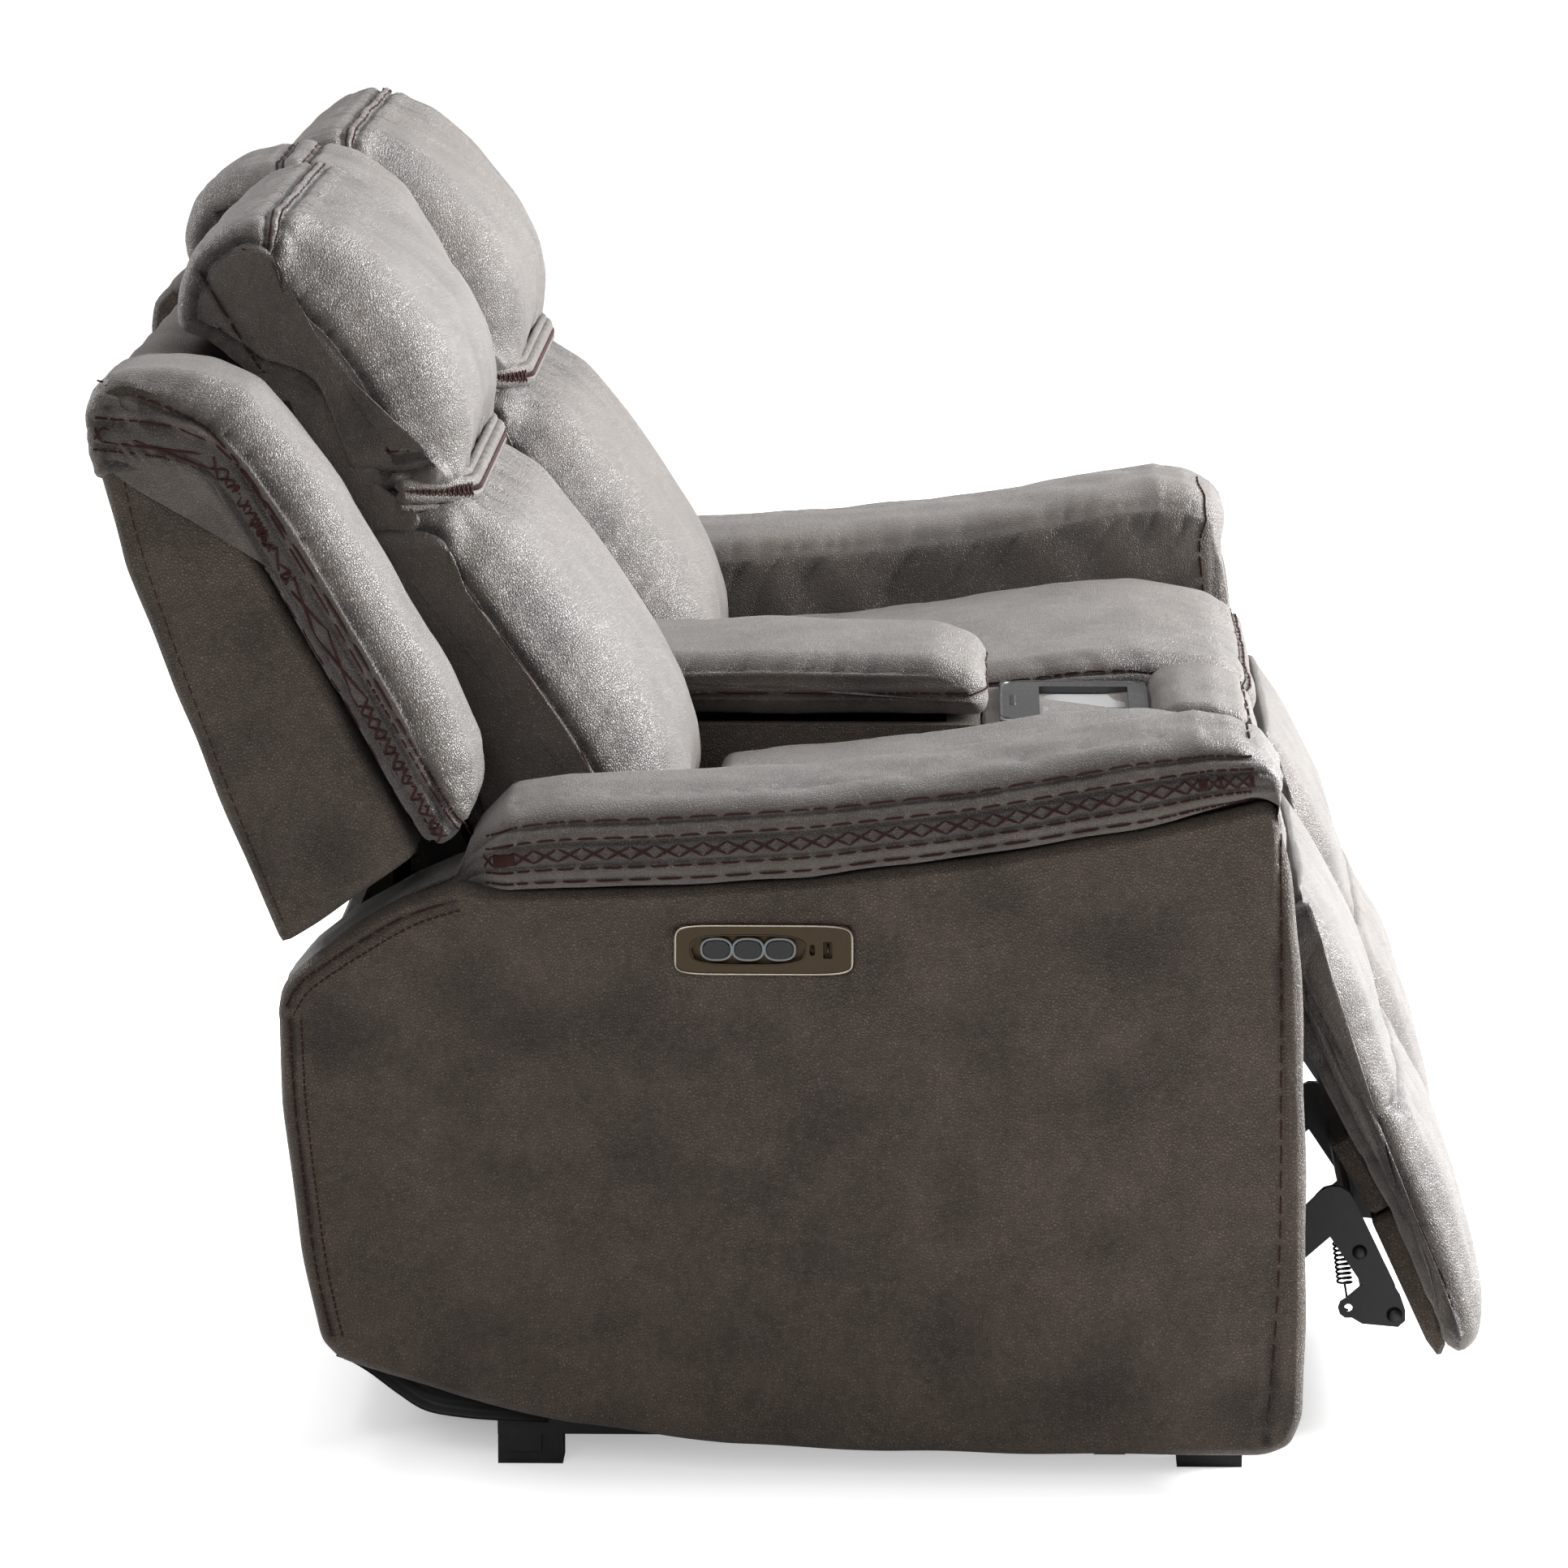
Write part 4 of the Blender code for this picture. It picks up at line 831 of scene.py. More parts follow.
@dataclass
class Pad:
    """A padded form whose side-view outline is carried along X, with a flat end face at each side.

    Near its ends the outline draws in, by `draw` where the form is exposed and by `edge` elsewhere,
    as `draw * (1 - t) ** 2.2` with t the way from the end. Each end face domes out a little.
    """

    name: str
    body: str
    nodes: tuple[str, ...]
    outline: Sequence[Point]
    low: float
    high: float
    edge: float = 0.014
    draw: float = 0.014
    drawn_from: Sequence[Point] = ()
    reach: float = 1.7
    soften: float = 0.009
    dome: float = 0.004
    step: float = 0.0060
    cap: float = 0.10
    seams: Sequence[Point] = ()
    seam_depth: float = 0.0035
    seam_width: float = 0.0042
    fill: float = 0.7
    pressure: float = 3.0
    slack: float = 0.008
    swelling: float = 0.012
    held: Sequence[Point] = ()
    seed: int = 1
    finish: Finish = TAUPE
    slot: str = "taupe_leather"
    extra: Callable[["Pad"], Array] | None = None
    band: Callable[["Pad"], Array] | None = None
    padded: bool = True

    def shape(self) -> None:
        """Works out the outline, its outward normals and how far it draws in at the ends."""
        loop = even(placed(self.outline), OUTLINE_POINTS, closed=True)
        area = np.sum(loop[:, 0] * np.roll(loop[:, 1], -1) - np.roll(loop[:, 0], -1) * loop[:, 1])
        if area < 0:
            loop = loop[::-1]
        total = np.linalg.norm(loop - np.roll(loop, 1, 0), axis=1).sum()
        self.spacing = total / len(loop)
        loop = blurred(loop, self.soften / self.spacing)
        self.loop = even(loop, OUTLINE_POINTS, closed=True)
        self.total = np.linalg.norm(self.loop - np.roll(self.loop, 1, 0), axis=1).sum()
        self.spacing = self.total / OUTLINE_POINTS
        ahead = np.roll(self.loop, -1, 0) - np.roll(self.loop, 1, 0)
        ahead = blurred(ahead / np.linalg.norm(ahead, axis=1, keepdims=True), 0.012 / self.spacing)
        ahead /= np.linalg.norm(ahead, axis=1, keepdims=True)
        self.outward = np.stack([ahead[:, 1], -ahead[:, 0]], axis=1)
        self.inset = np.full(OUTLINE_POINTS, self.edge)
        if self.drawn_from:
            first, last = (self.where(point) for point in self.drawn_from)
            arc = np.arange(OUTLINE_POINTS) * self.spacing
            inside = (arc - first) % self.total < (last - first) % self.total
            self.inset = np.where(inside, self.draw, self.edge)
            self.inset = blurred(self.inset, 0.022 / self.spacing)
        self.middle = self.loop.mean(0)
        self.arcs = np.arange(OUTLINE_POINTS) * self.spacing

    def where(self, point: Point) -> float:
        """The outline place nearest to a side-view point."""
        return float(np.linalg.norm(self.loop - placed([point])[0], axis=1).argmin()) * self.spacing

    def meridian(self, places: Array) -> tuple[Array, Array, Array]:
        """Reads the way from pole to pole: the X place, the end faces' scale and the distance from the ends.

        Args:
            places: metres from the first pole.

        Returns:
            X, the scale of the outline about its middle, and the distance into the body from the nearer end.
        """
        width = self.high - self.low
        span = width + 2 * self.cap
        turned_ = np.minimum(places, span - places)
        scale = np.clip(turned_ / self.cap, 0, 1)
        inward = np.clip(turned_ - self.cap, 0, None)
        rise = self.dome * (1 - scale**2)
        x = np.where(places < span / 2, self.low + self.dome - rise + inward * (1 - 2 * self.dome / width),
                     self.high - self.dome + rise - inward * (1 - 2 * self.dome / width))
        return x, scale, inward

    def base(self, places: Array, arcs: Array) -> Array:
        """The undisplaced surface on a grid of meridian and outline places.

        Args:
            places: metres from the first pole, shape (rows,).
            arcs: metres round the outline, shape (columns,).

        Returns:
            Points, shape (rows, columns, 3).
        """
        loop = cubic(self.loop, self.arcs, arcs, self.total)
        out = cubic(self.outward, self.arcs, arcs, self.total)
        inset = cubic(self.inset, self.arcs, arcs, self.total)
        x, scale, inward = self.meridian(places)
        depth = self.reach * inset + 0.006
        share = np.clip(inward[:, None] / depth[None], 0, 1)
        drawn = inset[None] * (1 - share) ** 2.2
        flat = loop[None] - out[None] * drawn[..., None]
        flat = self.middle + (flat - self.middle) * scale[:, None, None]
        full = np.broadcast_to(x[:, None, None], (*flat.shape[:2], 1))
        return np.concatenate([full, flat], axis=-1)

    def poles(self) -> tuple[Array, Array]:
        """The two end points of the middle line."""
        return np.array([self.low, *self.middle]), np.array([self.high, *self.middle])

    def puffed(self) -> tuple[Array, Array, Array]:
        """Inflates a coarse skin as cloth that is held along its seams and where it rests.

        Returns:
            Meridian places, outline places and how far each point moved, shape (rows, columns, 3).
        """
        span = self.high - self.low + 2 * self.cap
        rows = np.linspace(0, span, max(16, round(span / CLOTH_STEP)) + 1)[1:-1]
        columns = np.linspace(0, self.total, max(24, round(self.total / CLOTH_STEP)), endpoint=False)
        points = self.base(rows, columns)
        start, end = self.poles()
        cloth = closed_form("cloth", points, start, end)
        inward = self.meridian(rows)[2]
        hold = np.zeros((len(rows), len(columns)))
        hold[(inward < 0.007)] = 1.0
        for seam in self.seams:
            gap = np.abs((columns - self.where(seam) + self.total / 2) % self.total - self.total / 2)
            hold[:, gap < 0.008] = 1.0
        if self.held:
            first, last = (self.where(point) for point in self.held)
            hold[:, (columns - first) % self.total < (last - first) % self.total] = 1.0
        group = cloth.vertex_groups.new(name="held")
        flat = hold.ravel()
        group.add(np.flatnonzero(flat > 0).tolist() + [flat.size, flat.size + 1], 1.0, "REPLACE")
        modifier = cloth.modifiers.new("cloth", "CLOTH")
        settings = modifier.settings
        settings.quality = 4
        settings.mass = 0.35
        settings.tension_stiffness = settings.compression_stiffness = 18.0
        settings.shear_stiffness = 8.0
        settings.bending_stiffness = 0.7
        settings.use_pressure = True
        settings.uniform_pressure_force = self.pressure
        settings.vertex_group_mass = "held"
        settings.shrink_min = -self.slack
        settings.effector_weights.gravity = 0.0
        modifier.collision_settings.use_collision = False
        scene = bpy.context.scene
        for number in range(1, CLOTH_FRAMES + 1):
            scene.frame_set(number)
        done = cloth.evaluated_get(bpy.context.evaluated_depsgraph_get()).to_mesh()
        moved = np.empty(len(done.vertices) * 3)
        done.vertices.foreach_get("co", moved)
        moved = moved.reshape(-1, 3)[:-2].reshape(points.shape) - points
        bpy.data.objects.remove(cloth)
        scene.frame_set(1)
        far = np.linalg.norm(moved, axis=-1, keepdims=True)
        moved *= np.where(far > self.swelling, self.swelling / np.maximum(far, 1e-9), 1.0)
        moved = np.nan_to_num(moved)
        for _ in range(SMOOTHING_ROUNDS):
            moved[1:-1] = (moved[:-2] + 2 * moved[1:-1] + moved[2:]) / 4
            moved = (np.roll(moved, 1, 1) + 2 * moved + np.roll(moved, -1, 1)) / 4
            moved *= (1 - 0.8 * hold)[..., None]
        return rows, columns, moved

    def build(self) -> bpy.types.Object:
        """Makes the piece: base form, swelling, seams and creases.

        Returns:
            The piece, dressed and riding on its body.
        """
        self.shape()
        rows, columns, moved = self.puffed()
        span = self.high - self.low + 2 * self.cap
        seam_arcs = [self.where(point) for point in self.seams]
        ends = [self.cap, span - self.cap]
        self.places = seam_marks(span, self.step, ends, closed=False)[1:-1]
        self.columns = seam_marks(self.total, self.step, seam_arcs, closed=True)
        self.points = self.base(self.places, self.columns)
        shift = cubic(moved, rows, np.clip(self.places, rows[0], rows[-1]))
        shift = cubic(shift.transpose(1, 0, 2), columns, self.columns, self.total).transpose(1, 0, 2)
        self.points = self.points + shift
        self.normals = grid_normals(self.points)
        x_middle = (self.low + self.high) / 2
        lead = self.points - np.array([x_middle, *self.middle])
        if (self.normals * lead).sum() < 0:
            self.normals = -self.normals
        relief = np.zeros(self.points.shape[:2])
        _, scale, inward = self.meridian(self.places)
        self.scale, self.inward = scale, inward
        body = scale >= 1.0
        for arc in seam_arcs:
            gap = (self.columns - arc + self.total / 2) % self.total - self.total / 2
            relief += valley(gap, self.seam_depth, self.seam_width)[None] * np.where(body, 1.0, 0.0)[:, None]
        gap = np.where(body, inward, (1 - scale) * self.cap)
        relief += valley(gap, self.seam_depth * 0.9, self.seam_width)[:, None]
        relief += 0.0012 * swell(self.points, 0.11, self.seed)
        if self.extra:
            relief += self.extra(self)
        self.relief = relief
        self.points = self.points + self.normals * relief[..., None]
        start, end = self.poles()
        obj = closed_form(self.name, self.points, start, end)
        # Painted shade: creases and seam grooves darken by their depth, and a band adds a darker strip.
        mark_creases(obj, (np.clip(-relief / FULL_SHADE_DEPTH, 0, 1) + (self.band(self) if self.band else 0.0)).ravel())
        self.finish.on(obj, self.slot, self.body)
        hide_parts(*self.nodes)
        return obj

    def beside(self, point: Point) -> Array:
        """How far each column lies round the outline from a side-view point, shape (1, columns)."""
        gap = self.columns - self.where(point)
        return np.abs((gap + self.total / 2) % self.total - self.total / 2)[None]

    def gathered(self, point: Point | None, depth: float, reach: float, pitch: float, seed: int,
                 clear: float = 0.0) -> Array:
        """Gathers that run out from a line across the pad, or in from its two ends.

        Args:
            point: the side-view point that the line passes, or None for the ends.
            depth: how deep the creases are.
            reach: the distance over which they fade.
            pitch: the usual distance between creases.
            seed: the seed of their unevenness.
            clear: how far from the line they start.

        Returns:
            Heights over the pad's grid, none on the end faces.
        """
        x = self.points[..., 0]
        if point is None:
            along, away = self.columns[None] + 0 * x, self.inward[:, None] + 0 * x
        else:
            off = self.beside(point)
            along, away = x + 0 * off, np.clip(off - clear, 0, None) + 0 * x
        return (self.scale >= 1)[:, None] * gathers(along, away, depth, reach, pitch, seed)

    def across(self, point: Point, offset: float = 0.0) -> tuple[Array, Array]:
        """The line on the finished skin that runs along X at an outline place.

        Args:
            point: the side-view point that it passes.
            offset: metres further round the outline.

        Returns:
            Points and normals from end to end.
        """
        arc = (self.where(point) + offset) % self.total
        rows = self.scale >= 1.0
        line = cubic(self.points.transpose(1, 0, 2), self.columns, np.array([arc]), self.total)[0][rows]
        out = cubic(self.normals.transpose(1, 0, 2), self.columns, np.array([arc]), self.total)[0][rows]
        return line, out

    def round_end(self, high_end: bool, inset: float, first: Point, last: Point) -> tuple[Array, Array]:
        """The line on the skin that follows the outline near one end.

        Args:
            high_end: whether the end is the one towards +X.
            inset: metres along the skin from the end face's edge, negative on the face.
            first: the side-view point where the line starts.
            last: where it ends, the way round that the outline runs.

        Returns:
            Points and normals.
        """
        span = self.high - self.low + 2 * self.cap
        place = span - self.cap - inset if high_end else self.cap + inset
        start, run = self.where(first), (self.where(last) - self.where(first)) % self.total
        arcs = start + np.linspace(0, run, max(8, round(run / 0.004)))
        line = cubic(cubic(self.points, self.places, np.array([place]))[0], self.columns, arcs, self.total)
        out = cubic(cubic(self.normals, self.places, np.array([place]))[0], self.columns, arcs, self.total)
        return line, out

    def lay(self, line: Array, high_end: bool) -> tuple[Array, Array]:
        """Lays a side-view line on an end face, by the inverse distances to the nearest points of it.

        Args:
            line: placed (Y, Z) points.
            high_end: whether the end face is the one towards +X.

        Returns:
            Points and normals.
        """
        line = even(line, max(8, round(np.linalg.norm(np.diff(line, axis=0), axis=1).sum() / 0.005)))
        half = len(self.places) // 2
        rows = np.arange(half, len(self.places)) if high_end else np.arange(half)
        rows = rows[self.inward[rows] < 0.05]
        points, normals = self.points[rows].reshape(-1, 3), self.normals[rows].reshape(-1, 3)
        gap = np.linalg.norm(points[None, :, 1:] - line[:, None], axis=2)
        near = np.argsort(gap, axis=1)[:, :4]
        weight = 1 / (np.take_along_axis(gap, near, 1) + 1e-4) ** 2
        weight /= weight.sum(1, keepdims=True)
        x = (points[near][:, :, 0] * weight).sum(1)
        out = (normals[near] * weight[..., None]).sum(1)
        out /= np.linalg.norm(out, axis=1, keepdims=True)
        return np.column_stack([x, line]), out


# ---- outlines shared by the pieces

PANEL_FRONT = [(0.036, 0.029), (0.012, 0.038), (0.001, 0.065), (0.000, 0.200), (0.001, 0.330), (0.006, 0.465),
               (0.018, 0.551), (0.028, 0.604)]
PANEL_SEAM = [(0.034, 0.614), (0.152, 0.587), (0.293, 0.562), (0.434, 0.545), (0.575, 0.535), (0.716, 0.533)]
PANEL_REAR = [(0.744, 0.539), (0.790, 0.524), (0.837, 0.497), (0.879, 0.465), (0.897, 0.448), (0.900, 0.430),
              (0.898, 0.340), (0.881, 0.208), (0.866, 0.130), (0.851, 0.113)]
PANEL_BELOW = [(0.747, 0.079), (0.647, 0.056), (0.505, 0.038), (0.362, 0.031), (0.200, 0.030)]
PANEL = PANEL_FRONT + PANEL_SEAM + PANEL_REAR + PANEL_BELOW
BEZEL_LOW, BEZEL_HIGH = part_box("left_control_bezel")


def span(side: Side, inner: float, outer: float) -> tuple[float, float]:
    """The X range of a piece given by its distances from the middle."""
    low, high = sorted((side.value * inner, side.value * outer))
    return low, high


def dashes(line: Sequence[Point]) -> Array:
    """A drawn side-view line, placed and read again every 6 mm."""
    points = placed(line)
    length = np.linalg.norm(np.diff(points, axis=0), axis=1).sum()
    loop = cubic(points, np.arange(len(points), dtype=float), np.linspace(0, len(points) - 1, 60))
    return even(loop, max(4, round(length / 0.006)))


def shifted(line: Sequence[Point], offset: float) -> list[list[Point]]:
    """A drawn line moved square to itself, towards its right, in a list of one.

    Args:
        line: the drawn (Y, Z) points.
        offset: metres to move it.

    Returns:
        The moved line.
    """
    points = np.asarray(line, float)
    along = np.gradient(points, axis=0)
    along /= np.linalg.norm(along, axis=1, keepdims=True)
    return [[(float(y), float(z)) for y, z in points + offset * np.column_stack([-along[:, 1], along[:, 0]])]]


def cap_seam(pad: Pad, line: Sequence[Point], depth: float, width: float, outer_high: bool) -> Array:
    """A seam's groove along a side-view line on one end face of a pad.

    Args:
        pad: the pad, its points laid out.
        line: the drawn line.
        depth: the groove's depth.
        width: its half width.
        outer_high: whether the face is the one towards +X.

    Returns:
        Heights over the pad's grid.
    """
    path = dashes(line)
    towards = pad.points[..., 0] > (pad.low + pad.high) / 2
    gap = away_from(pad.points[..., 1:].reshape(-1, 2), path).reshape(pad.points.shape[:2])
    return np.where(towards == outer_high, valley(gap, depth, width), 0.0)


# ---- arms


@dataclass
class ArmCover:
    """The upholstered arm: a cross-section of padded top, full inner face and set-in outer face, carried along Y.

    The section's control points follow the side view's top, seam and bottom lines; the whole is then
    smoothed round the section and given its seams, puckers and wrinkles.
    """

    side: Side
    top: Sequence[Point] = ((0.000, 0.628), (0.010, 0.640), (0.022, 0.655), (0.045, 0.667), (0.089, 0.671),
                            (0.152, 0.664), (0.293, 0.639), (0.434, 0.623), (0.575, 0.615), (0.652, 0.612),
                            (0.702, 0.604),
                            (0.733, 0.572), (0.744, 0.542), (0.790, 0.522), (0.837, 0.495), (0.879, 0.462),
                            (0.898, 0.440))
    seam: Sequence[Point] = ((0.0, 0.618), (0.034, 0.616), (0.152, 0.589), (0.293, 0.564), (0.434, 0.547),
                             (0.575, 0.537), (0.716, 0.533), (0.760, 0.518), (0.800, 0.500), (0.898, 0.430))
    low: Sequence[Point] = ((0.0, 0.060), (0.012, 0.040), (0.036, 0.032), (0.200, 0.032), (0.362, 0.034),
                            (0.505, 0.041), (0.647, 0.059), (0.747, 0.082), (0.852, 0.116), (0.868, 0.134),
                            (0.882, 0.210),
                            (0.898, 0.345))
    front: Sequence[Point] = ((0.03, 0.030), (0.065, 0.004), (0.20, 0.003), (0.33, 0.004), (0.465, 0.009),
                              (0.551, 0.021), (0.600, 0.029), (0.616, 0.027), (0.634, 0.018), (0.655, 0.020),
                              (0.672, 0.040))

    def section(self, y: Array) -> Array:
        """Control points of the cross-section, as distance in from the outer face and height.

        Args:
            y: drawn stations, shape (n,).

        Returns:
            Shape (n, 18, 2).
        """
        top, seam, low = (np.interp(y, *np.asarray(table, float).T) for table in (self.top, self.seam, self.low))
        thick = np.clip((y - 0.700) / 0.040, 0, 1)

        def lip(inward: float) -> Array:
            """A distance in from the outer face, drawn in to the panel behind the pad's end."""
            return inward + (0.057 - inward) * thick

        seam = np.minimum(seam, top - 0.012)
        rise = top - seam
        tall = np.minimum(0.30, (seam + low) / 2)
        rows = [(lip(0.055), seam), (lip(0.014), seam + 0.001), (lip(0.003), seam + 0.14 * rise),
                (lip(-0.001), seam + rise * 0.45), (lip(0.004), seam + rise * 0.74), (lip(0.022), seam + rise * 0.95),
                (lip(0.060), seam + rise), (0.110 + 0 * y, top + 0.002), (0.160 + 0 * y, top + 0.001),
                (0.203 + 0 * y, top - 0.006), (0.229 + 0 * y, top - 0.024), (0.2385 + 0 * y, top - 0.065),
                (0.2390 + 0 * y, np.maximum(tall, low + 0.05)), (0.2385 + 0 * y, low + 0.018),
                (0.228 + 0 * y, low), (0.080 + 0 * y, low), (0.058 + 0 * y, low + 0.006),
                (0.0562 + 0 * y, (seam + low) / 2)]
        return np.stack([np.stack(pair, axis=-1) for pair in rows], axis=1)

    def build(self, sewing: Sewing) -> bpy.types.Object:
        """Makes the cover and sews it.

        Args:
            sewing: the base's thread.

        Returns:
            The piece.
        """
        y = seam_marks(0.897, 0.0052, [], closed=False) + 0.0004
        y = np.concatenate([[0.0004, 0.0025, 0.005, 0.0075], y[(y > 0.009)]])
        y = np.concatenate([y[y < 0.880], [0.884, 0.888, 0.8915, 0.8945, 0.8965, 0.8975]])
        table = self.section(y)
        closed = np.concatenate([table, table[:, :1]], axis=1)
        share = np.linspace(0, closed.shape[1] - 1, 18 * 11, endpoint=False)
        section = cubic(closed.transpose(1, 0, 2), np.arange(closed.shape[1], dtype=float), share).transpose(1, 0, 2)
        section = blurred(section.transpose(1, 0, 2), 3.2).transpose(1, 0, 2)
        self.share = share
        centre = section.mean(1, keepdims=True)
        ahead = np.clip(1 - y / 0.030, 0, 1)
        behind = np.clip((y - 0.868) / 0.030, 0, 1)
        scale = 1 - 0.5 * ahead**2.6 * 0.10 - 0.03 * behind**3
        section = centre + (section - centre) * scale[:, None, None]
        shift = np.interp(section[..., 1], *np.asarray(self.front, float).T) * np.clip(1 - y / 0.12, 0, 1)[:, None]
        depth = y[:, None] + shift
        x = self.side.value * (HALF_WIDTH - section[..., 0])
        points = np.stack([x, depth + FRONT_Y, section[..., 1]], axis=-1)
        rings = []
        for part in (0.93, 0.75, 0.5, 0.25):
            ring = points[0].mean(0) + (points[0] - points[0].mean(0)) * part
            ring[:, 1] = FRONT_Y + np.interp(ring[:, 2], *np.asarray(self.front, float).T) - 0.0008 * (1 - part)
            rings.append(ring)
        rings = rings[::-1]
        tail = [points[-1].mean(0) + (points[-1] - points[-1].mean(0)) * part + np.array([0, 0.001 * (1 - part), 0])
                for part in (0.8, 0.4)]
        count = len(rings)
        points = np.concatenate([np.array(rings), points, np.array(tail)])
        normals = grid_normals(points)
        out = points - points.mean((0, 1))
        if (normals * out).sum() < 0:
            normals = -normals
        body = np.zeros(len(points))
        body[count:-len(tail)] = 1
        yy = points[..., 1] - FRONT_Y
        z = points[..., 2]
        seam = np.interp(yy, *np.asarray(self.seam, float).T)
        top = np.interp(yy, *np.asarray(self.top, float).T)
        outer = HALF_WIDTH - np.abs(points[..., 0])
        rise = (z - seam) / np.maximum(top - seam, 0.01)
        relief = 0.0012 * swell(points, 0.10, 3)
        on_pad = (outer < 0.05) & (yy < 0.745)
        for level, depth_, width in ((0.76, 0.0024, 0.0026), (0.56, 0.0022, 0.0024), (0.30, 0.0022, 0.0024),
                                     (0.12, 0.0016, 0.0022)):
            gap = (z - (seam + level * (top - seam)))
            relief += np.where(on_pad, valley(gap, depth_, width), 0)
        nose = np.exp(-((yy - 0.035) / 0.02) ** 2)
        relief += np.where(outer > 0.05, valley(yy - 0.036, 0.0016, 0.0025) * (np.abs(normals[..., 1]) < 0.7), 0)
        on_top = np.clip((normals[..., 2] - 0.3) / 0.5, 0, 1)
        from_edge = np.clip(0.05 - outer, 0, None) + np.abs(outer - 0.05) * 0.9
        relief += on_top * gathers(yy, from_edge, 0.0022, 0.035, 0.030, 11)
        relief += on_top * gathers(yy, np.abs(outer - 0.225), 0.0020, 0.030, 0.026, 13)
        inner = np.clip((outer - 0.232) / 0.004, 0, 1)
        relief += inner * gathers(yy + 0.4 * z, np.clip(top - 0.03 - z, 0, None), 0.0032, 0.055, 0.032, 17)
        relief += inner * 0.0016 * uneven((yy - 0.5 * z) / 0.075, 23)
        relief += np.where(np.abs(normals[..., 1]) > 0.7, 0.0008 * swell(points, 0.08, 9), 0) * nose
        points = points + normals * (relief * np.clip(body + 0.3, 0, 1)[:, None])[..., None]
        start, end = points[0].mean(0), points[-1].mean(0)
        prefix = self.side.prefix
        obj = closed_form(f"{prefix}_arm_cover", points, start, end)
        # Painted shade: creases and seam grooves darken by their depth; the band darkens the strip round the crossed
        # stitches.
        band = np.where((rise > 0.30) & (rise < 0.56) & on_pad, 0.50, 0.0)
        mark_creases(obj, (np.clip(-relief / FULL_SHADE_DEPTH, 0, 1) + band).ravel())
        TAUPE.on(obj, "taupe_leather", "base")
        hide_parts(f"{prefix}_arm_pad", f"{prefix}_arm_wrap")
        self.points, self.normals, self.z, self.yy, self.outer = points, normals, z, yy, outer
        self.sew(sewing, seam, top)
        return obj

    def sew(self, sewing: Sewing, seam: Array, top: Array) -> None:
        """Lays the pad's rows of thread at shares of the way from its seam to its top.

        Args:
            sewing: the base's thread.
            seam: the seam's height over the grid.
            top: the top's height over the grid.
        """
        rise = (self.z - seam) / np.maximum(top - seam, 0.01)
        rows = np.flatnonzero((self.yy[:, 60] > 0.034) & (self.yy[:, 60] < 0.722))
        rows = rows[(rows > 12) & (rows < len(self.yy) - 8)]
        side_columns = np.flatnonzero((self.share > 0.6) & (self.share < 6.5))
        for level, kind, width in ((0.79, Stitch.PLAIN, 0.0), (0.60, Stitch.PLAIN, 0.0), (0.43, Stitch.CROSS, 0.0115),
                                   (0.26, Stitch.PLAIN, 0.0), (0.10, Stitch.PLAIN, 0.0)):
            share = rise[np.ix_(rows, side_columns)]
            first = np.argmax(share > level, axis=1)
            first = np.clip(first, 1, None)
            index = np.arange(len(rows))
            a, b = share[index, first - 1], share[index, first]
            good = (a <= level) & (b > level)
            mix = np.clip((level - a) / np.maximum(b - a, 1e-6), 0, 1)[:, None]
            low = self.points[rows, side_columns[first - 1]]
            high = self.points[rows, side_columns[first]]
            line = (low + (high - low) * mix)[good]
            out = self.normals[rows, side_columns[first]][good]
            line[:, 2] = np.convolve(np.pad(line[:, 2], 3, mode="edge"), np.ones(7) / 7, mode="valid")
            sewing.row(line, out, kind, pitch=0.0082, width=width, radius=0.0010)
        inner_columns = np.flatnonzero((self.share > 6.3) & (self.share < 14.0))
        for place in (0.029, 0.043):
            row = int(np.abs(self.yy[:, inner_columns[-1]] - place)[12:-8].argmin()) + 12
            sewing.row(self.points[row, inner_columns], self.normals[row, inner_columns], pitch=0.0082, radius=0.0011)


